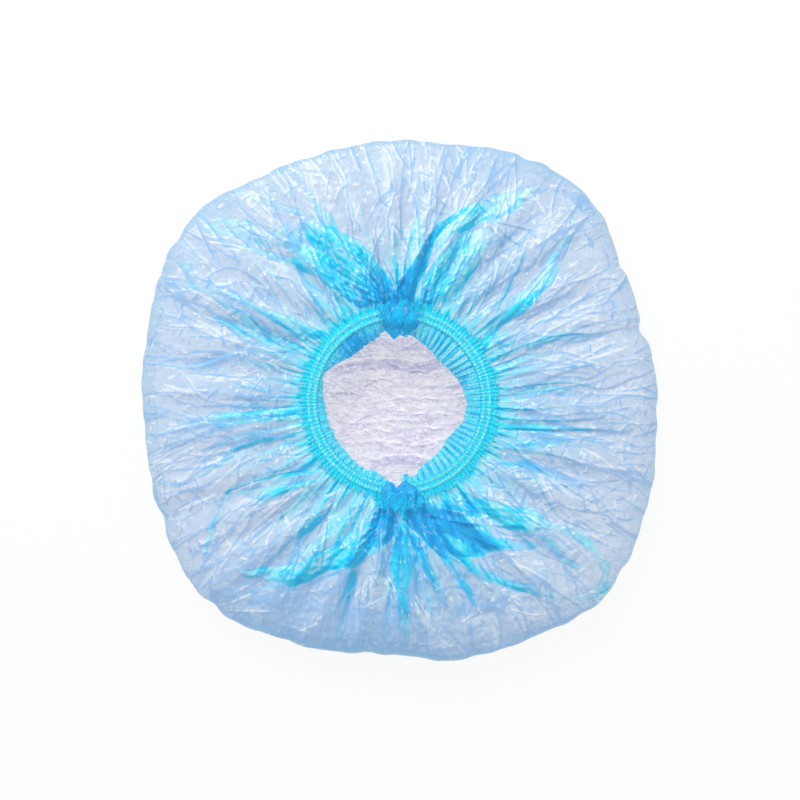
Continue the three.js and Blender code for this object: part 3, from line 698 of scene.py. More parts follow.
def film_pleats(side, u, out):
    """The pleats of a side film: sines whose heights are read along the side, and that grow and fade on the
    way to the edge."""
    heights = PLEAT_HEIGHTS if side > 0 else PLEAT_HEIGHTS[::-1]
    count = len(heights)
    height = np.interp(u * count, np.arange(count) + 0.5, heights)
    return MM * height * np.sin(TAU * count * u) * np.sin(math.pi * out ** 0.8)


def seal_angle(side):
    """The angle from which a side of the mouth runs anticlockwise to the other end seal."""
    return -side * math.pi / 2


def mouth_side(side, end_angle, steps):
    """Angles of one side of the mouth, from one end seal to the other."""
    return np.linspace(seal_angle(side) + end_angle, seal_angle(side) + math.pi - end_angle, steps + 1)


# Meshes


def stacked(*parts):
    """The points of a grid from its parts, such as x, y and z, each as wide as the grid or one line of it."""
    return np.stack(np.broadcast_arrays(*parts), -1)


def grid_faces(rows, columns, closed=False):
    """Corners of the quads of a grid of points whose rows follow each other; closed joins the last column to
    the first."""
    i = np.arange(columns if closed else columns - 1)
    j = np.arange(rows - 1)[:, None]
    k = (i + 1) % columns
    a, b = j * columns + i, j * columns + k
    return np.stack((a, a + columns, b + columns, b), -1).reshape(-1, 4)


def grid_normals(points):
    """Upward unit normals of a grid of points, from the steps to its neighbours."""
    normal = np.cross(np.gradient(points, axis=0), np.gradient(points, axis=1))
    normal /= np.maximum(np.linalg.norm(normal, axis=-1, keepdims=True), TINY)
    return normal * np.sign(normal[..., 2:] + 1e-9)


def make_piece(name, points, faces, finish, marks=None, lay=None):
    """A smooth mesh object of that name. marks are values a point, lay is a flat place in metres for each."""
    mesh = bpy.data.meshes.new(name)
    mesh.from_pydata(points.reshape(-1, 3), [], [f.tolist() for f in faces])
    mesh.polygons.foreach_set("use_smooth", np.ones(len(mesh.polygons), bool))
    for key, values in (marks or {}).items():
        layer = mesh.attributes.new(key, "FLOAT", "POINT")
        values = np.broadcast_to(values, points.shape[:-1])
        layer.data.foreach_set("value", values.astype(np.float32).ravel())
    if lay is not None:
        corners = np.empty(len(mesh.loops), np.int32)
        mesh.loops.foreach_get("vertex_index", corners)
        layer = mesh.uv_layers.new(name="Lay")
        layer.data.foreach_set("uv", lay.astype(np.float32).reshape(-1, 2)[corners].ravel())
    mesh.materials.append(finish)
    mesh.update()
    piece = bpy.data.objects.new(name, mesh)
    bpy.context.scene.collection.objects.link(piece)
    return piece


def follow_mouth(piece):
    """Bakes the piece's transform into its mesh."""
    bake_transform(piece)


def follow_by_share(piece, share):
    """Lines the piece's points up along x, where 3t^2 - 2t^3 is each point's share, bakes the piece's
    transform, and puts the points back after."""
    t = 0.5 - np.sin(np.arcsin(1 - 2 * np.clip(share, 0, 1)) / 3)
    rest = np.empty(3 * len(piece.data.vertices))
    piece.data.vertices.foreach_get("co", rest)
    lined = np.zeros((len(t), 3))
    lined[:, 0] = t
    piece.data.vertices.foreach_set("co", lined.ravel())
    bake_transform(piece)
    piece.data.vertices.foreach_set("co", rest)
    piece.data.update()


# Finishes


class Wire:
    """One output in a shader. Arithmetic on it adds Math nodes."""

    def __init__(self, nodes, node, output=0):
        self.nodes, self.node, self.socket = nodes, node, node.outputs[output]

    def out(self, output):
        return Wire(self.nodes, self.node, output)

    def _math(self, operation, *values):
        return self.nodes.add("ShaderNodeMath", {"operation": operation}, dict(enumerate(values)))

    def __add__(self, other):
        return self._math("ADD", self, other)

    __radd__ = __add__

    def __sub__(self, other):
        return self._math("SUBTRACT", self, other)

    def __rsub__(self, other):
        return self._math("SUBTRACT", other, self)

    def __mul__(self, other):
        return self._math("MULTIPLY", self, other)

    __rmul__ = __mul__

    def __abs__(self):
        return self._math("ABSOLUTE", self)

    def least(self, other):
        return self._math("MINIMUM", self, other)

    def most(self, other):
        return self._math("MAXIMUM", self, other)

    def between(self, low, high):
        """0 below low, 1 above high, smooth between; low may be the larger."""
        return self.nodes.add(
            "ShaderNodeMapRange", {"interpolation_type": "SMOOTHSTEP"},
            {"Value": self, "From Min": low, "From Max": high})


class Nodes:
    """A node tree that nodes are added to."""

    def __init__(self, tree):
        self.tree = tree

    def add(self, kind, settings=None, inputs=None, output=0):
        """A node of that type, with its settings, its sockets' values or wires, and the output wanted."""
        node = self.tree.nodes.new(kind)
        for key, value in (settings or {}).items():
            setattr(node, key, value)
        for key, value in (inputs or {}).items():
            if isinstance(value, Wire):
                self.tree.links.new(value.socket, node.inputs[key])
            else:
                node.inputs[key].default_value = value
        return Wire(self, node, output)


class Finish(Nodes):
    """A material and the nodes that are added to it."""

    def __init__(self, name):
        self.material = bpy.data.materials.new(name)
        self.material.use_nodes = True
        super().__init__(self.material.node_tree)
        self.tree.nodes.clear()
        self.output = self.tree.nodes.new("ShaderNodeOutputMaterial")

    def mix(self, factor, first, second):
        """A colour between two, by a factor."""
        inputs = {0: factor, 6: colour(first), 7: colour(second)}
        return self.add("ShaderNodeMix", {"data_type": "RGBA"}, inputs, output=2)

    def place(self, scale=(1, 1, 1)):
        """Object coordinates in metres, stretched."""
        at = self.add("ShaderNodeTexCoord", output="Object")
        return self.add("ShaderNodeMapping", inputs={"Vector": at, "Scale": scale})

    def lay(self, scale=(1, 1, 1)):
        """The piece's own flat place in metres, stretched."""
        at = self.add("ShaderNodeUVMap", {"uv_map": "Lay"})
        return self.add("ShaderNodeMapping", inputs={"Vector": at, "Scale": scale})

    def noise(self, at, scale, detail=3.0, roughness=0.5, distortion=0.0):
        """Smooth noise from 0 to 1."""
        return self.add("ShaderNodeTexNoise", inputs={
            "Vector": at, "Scale": scale, "Detail": detail, "Roughness": roughness, "Distortion": distortion})

    def relief(self, at, scale, step, detail=2.0, roughness=0.5):
        """Creased noise, the distance of noise from its middle, and how far it falls over a small step:
        above 0 on one side of each crease and below 0 on the other."""
        moved = self.add("ShaderNodeVectorMath", {"operation": "ADD"}, {0: at, 1: step})
        here = abs(self.noise(at, scale, detail, roughness) - 0.5) * 2
        there = abs(self.noise(moved, scale, detail, roughness) - 0.5) * 2
        return here, here - there

    def mark(self, name):
        """A value kept for each point of the piece."""
        return self.add("ShaderNodeAttribute", {"attribute_name": name}, output="Fac")

    def bump(self, height, distance):
        """A normal that follows a height, whose 1 stands for a distance in metres."""
        return self.add("ShaderNodeBump", inputs={"Height": height, "Distance": distance, "Strength": 1.0})

    def plastic(self, **inputs):
        """The shader of the finish, given by the names of its sockets with underscores for spaces."""
        inputs = {key.replace("_", " "): value for key, value in inputs.items()}
        return self.wear(self.add("ShaderNodeBsdfPrincipled", inputs=inputs))

    def wear(self, shader):
        """Puts a shader on the surface."""
        self.tree.links.new(shader.socket, self.output.inputs["Surface"])
        return self.material


def colour(value):
    """A colour of three parts with its fourth added; a wire stays as it is."""
    return value if isinstance(value, Wire) else (*value[:3], 1.0)


def film_finish():
    """Thin tinted film. Its tint and its cover grow with the tint mark; each of its creases has a painted lit
    side and a painted shaded side, and painted highlights and glints lie over it."""
    colours = bpy.context.scene.cap_colours
    f = Finish("tinted film")
    tint, glare, thin, shade, lines = (f.mark(name) for name in ("tint", "glare", "thin", "shade", "lines"))
    at = f.place()
    crumple, crumple_side = f.relief(at, CRUMPLE_SCALE, FILM_STEP, 2.0, 0.6)
    drawn, drawn_side = f.relief(f.lay((1.0, 0.2, 1.0)), DRAWN_SCALE, DRAWN_STEP, 2.0, 0.55)
    patches = f.noise(at, PATCH_SCALE, 3.0, 0.55, 0.6)
    glint_specks = f.noise(f.lay((1.0, 0.35, 1.0)), GLINT_SPECK_SCALE, 1.0, 0.5)
    grain = (tint * (1.15 - tint)).most(0)
    # Painted light and shade: the creases' lit and shaded sides, and the shade mark of the lamp's side
    side = crumple_side * (0.45 + grain * 1.7) + drawn_side * (0.3 + grain * 3.0) - shade * 0.85
    # Painted glints: small white specks in patches
    painted_glint = glint_specks.between(0.62, 0.74) * patches.between(0.45, 0.62) * 0.7
    # Painted shade on the shaded sides; the crease lines, denser film, take the same shade colour
    shadow = ((0 - side).between(0.0, 0.9) * 0.7 + lines).least(1)
    # The tint deepens a little on the shaded sides, a painted shade
    deeper = (tint * (1 + (patches - 0.5) * 0.5) + (0 - side).most(0).least(1) * tint * 0.3
              + (drawn - 0.3) * grain * 0.8 + (patches - 0.5) * 0.05).most(0).least(1.15)
    body = f.mix(deeper.between(0.03, 0.35), colours.single, colours.folded)
    body = f.mix(deeper.between(0.55, 1.0), body, colours.bunched)
    body = f.mix(deeper.between(0.9, 1.3), body, colours.tightest)
    body = f.mix(shadow * (1 - deeper * 0.8).most(0.2), body, colours.shadow)
    # Painted highlights: the lit sides, light patches and the glare mark turn the film milky white
    painted_highlight = (side * 0.9 + (patches - 0.5) * 0.4 + glare).between(0.08, 0.75)
    painted_highlight = painted_highlight * (1 - tint * 0.5) * (1 - lines * 0.7)
    painted_highlight = painted_highlight.most(painted_glint * (1 - tint * 0.4))
    body = f.mix(painted_highlight * 0.85, body, FILM_HIGHLIGHT)
    cover = 0.23 + deeper * 0.85 + deeper * deeper * 0.25 + shadow * 0.36 + painted_highlight * 0.26
    return f.plastic(
        Base_Color=body, Roughness=0.14 + drawn * 0.3, Alpha=cover.least(0.98) * thin, IOR=LOOSE_IOR,
        Normal=f.bump(crumple * 0.6 + drawn * (0.2 + tint * 0.4), 0.0005))


def crown_finish():
    """The crown film on the white surface below: lilac, with fine wrinkles that mostly run across, painted
    highlights and glints, and painted light and shade on the wrinkles' sides and on its slopes.
    """
    colours = bpy.context.scene.cap_colours
    f = Finish("crown film")
    tint, glare, shade, lines = (f.mark(name) for name in ("tint", "glare", "shade", "lines"))
    # Where the hem and the side films lie over it, its painted highlights are dimmed as painted shade and its
    # cover is thinner
    bare = 1 - f.mark("covered") * 0.75
    wrinkle, side = f.relief(f.place(DRAWN_ACROSS), CROWN_SCALE, CROWN_STEP, 2.0, 0.6)
    patches = f.noise(f.place(DRAWN_ACROSS), CROWN_PATCH_SCALE, 2.0, 0.5, 0.5)
    # Painted light and shade: the wrinkles' lit and shaded sides, the slope mark and the crease lines
    side = side * 1.2 - shade * 0.22 - lines * 0.2
    vein = wrinkle.between(0.10, 0.02)
    # Painted glints: small white specks
    glint_specks = f.noise(f.place((0.6, 1.0, 1.0)), CROWN_GLINT_SPECK_SCALE, 2.0, 0.6).between(0.56, 0.66)
    painted_highlight = (side + (patches - 0.5) * 0.3 + glare + glint_specks * 0.9 - lines * 0.4).between(-0.25, 0.6) * bare
    body = f.mix(painted_highlight * 0.85, f.mix(tint, colours.crown, CROWN_DEEP), CROWN_HIGHLIGHT)
    dense = tint * 0.36 + (0 - side).most(0).least(0.6) * 0.25 + lines * 0.24 + vein * 0.16 + painted_highlight * 0.15
    cover = 0.21 + dense * bare + (patches - 0.5) * 0.2
    return f.plastic(
        Base_Color=body, Roughness=0.16 + wrinkle * 0.3, Alpha=cover.least(0.95), IOR=DENSE_IOR,
        Normal=f.bump(wrinkle, 0.0006))


def gathered_finish():
    """Film gathered tight over the elastic: painted highlights between the gathers, and a tint deepened by
    painted shade in them.
    """
    colours = bpy.context.scene.cap_colours
    f = Finish("gathered film")
    tint, glare, thin = (f.mark(name) for name in ("tint", "glare", "thin"))
    wrinkle, side = f.relief(f.place(), GATHER_SCALE, GATHER_STEP, 2.0, 0.6)
    coarse = f.noise(f.place(), GATHER_COARSE_SCALE, 2.0, 0.5, 0.3)
    # The gathers' shaded sides deepen the tint, a painted shade
    deeper = (tint + (0 - side) * 1.6 + (coarse - 0.5) * 0.5).most(0).least(1.3)
    body = f.mix(deeper.between(0.3, 1.0), colours.folded, colours.bunched)
    body = f.mix(deeper.between(0.85, 1.25), body, colours.tightest)
    # Painted highlights from the glare mark and the gathers' lit sides
    painted_highlight = (glare + side * 3.0).between(0.2, 1.0)
    body = f.mix(painted_highlight * 0.7, body, GATHER_HIGHLIGHT)
    return f.plastic(
        Base_Color=body, Roughness=0.2 + wrinkle * 0.3, Alpha=(0.74 + deeper * 0.24).least(0.98) * thin,
        IOR=DENSE_IOR, Normal=f.bump(wrinkle, 0.0008))


def elastic_finish():
    """Pale rubber with fine ribs round the strand."""
    colours = bpy.context.scene.cap_colours
    f = Finish("elastic")
    ribs = f.add(
        "ShaderNodeTexWave", {"bands_direction": "X"},
        {"Vector": f.lay(), "Scale": RIB_SCALE, "Distortion": 1.0})
    fine = f.noise(f.place(), RUBBER_SCALE, 2.0)
    body = f.mix(ribs * 0.6 + fine * 0.4, colours.elastic, RIB_LIGHT)
    return f.plastic(
        Base_Color=body, Roughness=0.45 + fine * 0.2, Normal=f.bump(ribs + fine * 0.4, 0.0004))


# Marks of the side films: what folds, overlaps and creases do to their tint, lift and light.
# In these functions x and y are places in millimetres.


def fold_film(x, y, held):
    """Presses the folds into the film: its shift along x and y and its lift, in metres. held is 1 where the
    film is free and 0 where it is fixed. A fold draws film towards its line by
    FOLD_PULL * turns * spread * sin(pi d / spread) / pi at a distance d, so that past one turn three layers
    lie over each other, and lifts one side of the line above the other by height * sin(pi d / spread)."""
    shift_x, shift_y, lift = (np.zeros(x.shape) for _ in range(3))
    for points, spreads, turns, _, height in FOLDS:
        near, share, offset, left_x, left_y = near_line(points, max(spreads) + 1, x, y)
        spread = from_to(*spreads, share)
        fade = smooth(0, 0.1, share) * smooth(1, 0.5, share)
        inside = np.abs(offset) < spread
        wave = np.where(inside, np.sin(math.pi * offset / spread), 0) * fade * held[near]
        pull = -from_to(*turns, share) * FOLD_PULL * spread / math.pi * wave * MM
        shift_x[near] += pull * left_x
        shift_y[near] += pull * left_y
        lift[near] += height * MM * wave
    return shift_x, shift_y, lift


def small_folds():
    """Many small seeded folds that run outwards from the mouth: line, width, and tint at both ends."""
    rng = np.random.default_rng(FOLD_SEED)
    around_mouth = rng.uniform(0, TAU, MOUTH_FOLDS)
    at_knots = [rng.normal(turn, 0.4, KNOT_FOLDS) for turn in (math.pi / 2, -math.pi / 2)]
    small = []
    for angle in np.concatenate((around_mouth, *at_knots)):
        start = rng.choice(SMALL_FOLD_STARTS) * rng.uniform(0.99, 1.06)
        length = rng.uniform(*SMALL_FOLD_LENGTHS)
        spoke = np.array((math.cos(angle), math.sin(angle)))
        side = np.array((-spoke[1], spoke[0]))
        lean = 0.3 * math.cos(angle) * math.sin(angle) * length + rng.normal(0, 0.09) * length
        kink = rng.normal(0, 0.035) * length
        points = [
            MOUTH_MIDDLE / MM + spoke * (start + length * t) + side * (lean * t * t + bend * kink)
            for t, bend in ((0, 0), (0.35, 1), (0.7, -0.6), (1, 0))]
        small.append((
            points, rng.uniform(*SMALL_FOLD_WIDTHS), rng.uniform(*FIRST_TINTS), rng.uniform(*LAST_TINTS)))
    return small


def small_creases():
    """The bright creases, then seeded ones all over the side films: line, width of the facet beside it, how
    much painted light or shade the facet gets, and the strength of the crease's dark line and of its
    painted highlight line. The first seeded ones run outwards, the next any way, and the last are short
    painted glints."""
    rng = np.random.default_rng(CREASE_SEED)
    small = [(points, *BRIGHT_LOOK) for points in BRIGHT_CREASES]
    for number in range(SMALL_CREASES):
        outwards, glint = number < CREASES_OUTWARDS, number >= FIRST_GLINT
        angle = rng.uniform(0, TAU)
        start = rng.uniform(*(OUTWARD_STARTS if outwards else OTHER_STARTS))
        length = rng.uniform(*(OUTWARD_LENGTHS if outwards else GLINT_LENGTHS if glint else OTHER_LENGTHS))
        at = MOUTH_MIDDLE / MM + start * np.array((math.cos(angle), math.sin(angle)))
        turn = angle + (rng.normal(0, 0.28) if outwards else rng.uniform(0, TAU))
        points = [at]
        for _ in range(3):
            points.append(points[-1] + length / 3 * np.array((math.cos(turn), math.sin(turn))))
            turn += rng.normal(0, 0.22)
        facet_shading = rng.choice((-1, 1)) * rng.uniform(*FACET_SHADING_RANGE)
        strength = rng.uniform(*CREASE_STRENGTHS)
        if glint:
            small.append((points, 1.5, 0, 0.3 * strength, 1.6 * strength))
        else:
            width = rng.uniform(*(OUTWARD_FACETS if outwards else OTHER_FACETS))
            small.append((points, width, facet_shading, 1.7 * strength, 0.45 * strength))
    return small


def crown_creases():
    """Small seeded creases of the crown film, which mostly run across: line and strength."""
    rng = np.random.default_rng(CROWN_SEED)
    small = []
    for _ in range(CROWN_CREASES):
        turn, length = rng.normal(0, 0.3), rng.uniform(*CROWN_LENGTHS)
        bends = rng.normal(0, 0.06, 4)
        steps = np.stack((np.linspace(0, 1, 4), bends), 1) * length
        way = np.array(((math.cos(turn), math.sin(turn)), (-math.sin(turn), math.cos(turn))))
        small.append((rng.uniform(*CROWN_PLACES) + steps @ way, rng.uniform(*CROWN_STRENGTHS)))
    return small


def add_band(tint, near, across, half, strength):
    """Adds a fold's tint at the near places: it ends crisply on one side, at a half width from the line, and
    fades on the other."""
    band = smooth(-3.4 * half, 0.6 * half, across) * smooth(half + 0.4, half - 0.2, across)
    band = strength * (band + 0.3 * bell(across - half, 0.45))
    tint[near] = np.maximum(tint[near], band) + 0.45 * np.minimum(tint[near], band)


def add_folds(x, y, tint, lift):
    """Adds the tint of the large and the small folds, and the lift of the small ones."""
    for number, (points, spreads, _, tints, _) in enumerate(FOLDS):
        near, share, offset, _, _ = near_line(points, 2 * max(spreads) + 1, x, y)
        fade = smooth(0, 0.1, share) * smooth(1, 0.35, share)
        half = 0.46 * from_to(*spreads, share) * (0.6 + 0.5 * share)
        strength = 0.55 * from_to(*tints, share) * fade
        add_band(tint, near, offset * (1 if number % 2 else -1), half, strength)
    for number, (points, width, first, last) in enumerate(small_folds()):
        near, share, offset, _, _ = near_line(points, 1.5 * width + 1, x, y, steps=4)
        fade = smooth(0, 0.06, share) * smooth(1, 0.3, share)
        half = 0.3 * width * (0.6 + 0.9 * share)
        add_band(tint, near, offset * (1 if number % 2 else -1), half, from_to(first, last, share) * fade)
        lift[near] += 0.5 * MM * fade * bell(offset, 0.5 * width)


def add_overlaps(x, y, tint, lift, facet_shading, lines, glare):
    """Adds the places where film overlaps or slopes. Each has a ragged border, part crisp and part soft, with
    a dark line inside it and a painted highlight line outside, painted light or shade over it, and streaks
    that fan out from its first point."""
    for number, (points, first, last, painted_lightness, height) in enumerate(OVERLAPS):
        outline = np.array(points, float).reshape(-1, 2)
        near = within(outline, 2, x, y)
        px, py = x[near], y[near]
        ragged_x = px + 0.3 * swells(px, py, 14, 360) + 0.12 * swells(px, py, 4, 362)
        depth = depth_inside(outline, ragged_x, py + 0.3 * swells(px, py, 14, 361))
        off_x, off_y = px - outline[0, 0], py - outline[0, 1]
        gone = np.hypot(off_x, off_y)
        share = np.clip(gone / np.hypot(*(outline - outline[0]).T).max(), 0, 1)
        bearing = np.arctan2(off_y, off_x)
        streaks = swells(bearing * 60, gone * 0.2, 6, 300 + number) + 0.6 * swells(px, py, 4, 330 + number)
        end = smooth(1.02, 0.8, share) if last > 0.12 else 1
        soft = smooth(-0.2, 1.0, swells(px, py, 26, 460 + number))
        band = smooth(-0.5 - 0.5 * soft, 0.6 + 2.6 * soft, depth) * (0.35 + 0.65 * end)
        band = band * (0.95 + 0.15 * swells(px, py, 15, 490 + number))
        strength = from_to(first, last, smooth(0, 1, share))
        strength = strength * (0.62 + 0.45 * strength) * (1 + 0.35 * streaks)
        tint[near] += strength * band * (1 - 0.5 * np.minimum(tint[near], 1))
        # Painted light or shade over the overlap
        facet_shading[near] += (painted_lightness + 0.2 * streaks) * smooth(-0.4, 0.8, depth)
        border = bell(depth - 0.3, 0.55) * smooth(-0.6, 0.8, swells(px, py, 22, 400 + number))
        lines[near] = np.maximum(lines[near], 0.85 * border)
        glare[near] += 0.5 * bell(depth + 0.9, 0.5) * smooth(0, 1, swells(px, py, 18, 430 + number))
        lift[near] += 0.8 * height * MM * smooth(-0.3, 4.5, depth) * (1 + 0.25 * streaks)


def add_creases(x, y, tint, lift, facet_shading, lines, glare):
    """Adds the small creases, which are fainter where the film lies several times over."""
    for points, width, painted_lightness, dark, light in small_creases():
        near, share, offset, _, _ = near_line(points, width + 1, x, y, steps=3)
        fade = smooth(0, 0.12, share) * smooth(1, 0.6, share)
        fade = fade * (1 - 0.6 * np.clip(tint[near], 0, 1))
        # Painted shading on the facet to one side of the crease, and a painted highlight line beside it
        facet_shading[near] += painted_lightness * (smooth(-width, 0, offset) * (offset < 0)) * fade
        lines[near] = np.maximum(lines[near], dark * fade * bell(offset, 0.5))
        glare[near] += light * fade * bell(offset - 0.95, 0.45)
        lift[near] += 0.45 * MM * fade * np.exp(-np.abs(offset) / 1.5)


def film_looks(x, y):
    """What folds, overlaps and creases do to the film: its tint, its lift in metres, its painted light and
    shade, its crease lines and their painted glare."""
    tint, lift, facet_shading, lines, glare = (np.zeros(x.shape) for _ in range(5))
    add_folds(x, y, tint, lift)
    add_overlaps(x, y, tint, lift, facet_shading, lines, glare)
    add_creases(x, y, tint, lift, facet_shading, lines, glare)
    return np.clip(tint, 0, DEEPEST_FILM), lift, facet_shading, lines, glare


# Pieces


def ring_ruffle(turn, from_ring):
    """Pleats that start as the gathers at the elastic and join into fewer, wider ones outwards: three sets of
    sin(2 * count * gathers * angle) that wander a little and fade with a bell curve."""
    gathers = bpy.context.scene.cap_sizes.gathers
    ruffle = np.zeros(turn.shape)
    for number, count, length, height in ((1, 1, 15, 0.4), (2, 0.62, 18, 0.35), (3, 0.37, 34, 0.4)):
        wander = 1.6 * swells(np.cos(turn) * 3, np.sin(turn) * 3, 2.2, 60 + number)
        wander = wander + 1.2 * swells(from_ring * 30, turn, 3.0, 70 + number)
        wave = np.sin(2 * count * gathers * turn + 2 * wander)
        ruffle += height * MM * wave * bell(from_ring / (length * MM) - 0.5 * (number > 1), 1)
    return ruffle


def film_crumples(x, y, turn, from_ring, near_ring):
    """The film's crumples, which are spokes near the elastic and facets away from it: their height as a
    share of the crumple height, and their crease lines."""
    facets, facet_lines = crinkle(x, y, *BROAD_CRINKLE)
    fine_facets, fine_lines = crinkle(x, y, *FINE_CRINKLE)
    spokes, spoke_lines = crinkle(40 * MM * turn, 0.3 * from_ring, *SPOKE_CRINKLE)
    facets = (0.55 * facets + 0.6 * fine_facets) * (1 - 0.5 * near_ring)
    lines = 0.6 * np.maximum(facet_lines, 0.8 * fine_lines) * (1 - 0.6 * near_ring)
    height = facets + spokes * (0.35 + 0.35 * near_ring)
    return height, np.maximum(lines, spoke_lines * (0.3 + 0.5 * near_ring))


def to_lamp(x, y):
    """How far a direction points to the main lamp, seen from above."""
    return x * LAMP_WAY[0] + y * LAMP_WAY[1]


def side_film(name, side, finish):
    """One side of the film, from the mouth over the crest to the edge and a little under it. A point is on
    the straight line from the mouth to the edge, at the film's height there, then moved by pleats, folds and
    crumples."""
    sizes = bpy.context.scene.cap_sizes
    columns, rows, under_rows = 600, 140, 9
    u = np.linspace(0, 1, columns + 1)[None, :]
    out = np.linspace(0, 1, rows + 1)[:, None]
    edge_angle = seal_angle(side) + math.pi * u
    mouth_angle = edge_angle - 0.6 * np.sin(TAU * u) / 2
    at_seal = bell(np.arccos(np.abs(np.sin(mouth_angle))), 0.16)
    start = sizes.mouth_radius + FILM_START + 1.2 * MM * at_seal
    mouth_x, mouth_y = around(MOUTH_MIDDLE, mouth_angle, start)
    reach = edge_reach(edge_angle)
    edge_x, edge_y = around(CAP_MIDDLE, edge_angle, reach)
    x, y = from_to(mouth_x, edge_x, out), from_to(mouth_y, edge_y, out)
    held = smooth(0, 0.07, out) * smooth(1, 0.93, out) + 0 * x
    shift_x, shift_y, fold_lift = fold_film(x / MM, y / MM, held)
    x, y = x + shift_x, y + shift_y
    tint, overlap_lift, facet_shading, creased, crease_glare = film_looks(x / MM, y / MM)

    # Its height and its crease lines
    off_x, off_y = x - MOUTH_MIDDLE[0], y - MOUTH_MIDDLE[1]
    radius, turn = np.hypot(off_x, off_y), np.arctan2(off_y, off_x)
    from_ring = radius - sizes.mouth_radius
    near_ring = bell(np.maximum(from_ring, 0), SPOKE_REACH)
    ruffle = ring_ruffle(turn, from_ring)
    crumple, lines = film_crumples(x, y, turn, from_ring, near_ring)
    rough = smooth(0.0, 0.15, out) * (1 - 0.7 * np.clip(overlap_lift / (1.5 * MM), 0, 1))
    lines = np.maximum(lines * rough, creased * smooth(0.02, 0.12, out))
    lines = np.maximum(lines, 0.6 * bell(1 - out, 0.013))
    z = film_height(out) + film_pleats(side, u, out) + film_swell(edge_angle, out)
    z = z + fold_lift + overlap_lift * held + ruffle * held.clip(0.35)
    z = z + sizes.crumple_height / MM * crumple * rough * smooth(1, 0.985, out)

    # Close to the elastic and the end seals the film is bunched
    knot_gap = np.minimum(*(np.hypot(x - knot_x * MM, y - knot_y * MM) for knot_x, knot_y in KNOTS))
    near_knot = np.exp(-((knot_gap / KNOT_REACH) ** 1.6))
    near_hem = np.exp(-np.maximum(from_ring - HEM_EDGE, 0) / HEM_REACH)
    around_hem = np.exp(-from_ring / GATHER_REACH)
    gather = swells(turn * 60, from_ring * 60, 3.0, 81) * around_hem
    bunched = 0.40 + 0.2 * swells(turn * 40, from_ring * 200, 3.0, 83)
    tint = tint * (1 - 0.25 * near_knot) + bunched * near_hem
    tint = tint + 0.2 * around_hem + 0.45 * near_knot + 0.16 * gather
    # Painted highlights on the ruffle's slopes near the elastic, and along the creases
    glare = 0.25 * np.sin(np.clip(ruffle / (0.7 * MM), -1.5, 1.5)) * np.exp(-from_ring / GLARE_REACH)
    glare = glare + crease_glare

    # The film turned under at the edge
    t = np.linspace(0, 1, under_rows + 1)[1:, None]
    inset = reach - UNDER_ROUND * (1 - np.cos(t * math.pi / 2)) - UNDER_EVEN * t
    under_x, under_y = around(CAP_MIDDLE, edge_angle, inset)
    under_z = from_to(sizes.edge_height, UNDER_HEIGHT, np.sin(t * math.pi / 2))
    points = np.concatenate((stacked(x, y, z), stacked(under_x, under_y, under_z)))
    under = np.zeros(under_x.shape)

    def whole(values, rest=0):
        """Values of the film's top, with the rest for the part turned under."""
        return np.concatenate((values + 0 * x, under + rest))

    # Painted shade and light: the shade mark grows as the film faces away from the main lamp, with part of
    # the dome's broad slope taken out, and takes the facets' painted shading; the edge and the film under it
    # get a fixed painted shade. Film seen on a slope looks denser, as more of it lies in the line of sight
    # from above.
    normal = grid_normals(points)
    fall = np.gradient(film_height(out), axis=0) / np.gradient(radius, axis=0)
    dome_shade = fall * to_lamp(np.cos(turn), np.sin(turn)) / np.sqrt(1 + fall ** 2)
    shade = -to_lamp(normal[..., 0], normal[..., 1]) - 0.6 * whole(dome_shade)
    top = whole(smooth(0.995, 0.96, out))
    shade = shade * whole(1 - 0.45 * near_ring, 1) * top + 0.35 * (1 - top) - whole(facet_shading)
    tint = whole(tint) + 0.10 * np.clip(1 / np.maximum(normal[..., 2], 0.25) - 1, 0, 1)
    # Spots with denser tint and more painted shade, or with thinner tint and painted light
    for centre_x, centre_y, spread, amount in DENSE_AND_SHADED_SPOTS:
        far_x, far_y = points[..., 0] / MM - centre_x, points[..., 1] / MM - centre_y
        density_and_shade = amount * np.exp(-((far_x ** 2 + far_y ** 2) / spread ** 2))
        tint, shade = tint + 0.3 * density_and_shade, shade + 4 * density_and_shade

    marks = {
        "tint": np.clip(tint, 0, DEEPEST_FILM), "glare": whole(glare), "thin": whole(1, 0.35), "shade": shade,
        "lines": np.clip(whole(lines), 0, 1)}
    lay = stacked(u * 0.3, np.concatenate((out * 0.1, 0.1 + t * 0.006)))
    piece = make_piece(name, points, grid_faces(len(points), columns + 1), finish, marks, lay)
    ring_share = smooth(0, 1, side * (mouth_x - MOUTH_MIDDLE[0]) / sizes.mouth_radius)
    follow_by_share(piece, whole(ring_share * (1 - smooth(0, 1, out))).ravel())
    return piece


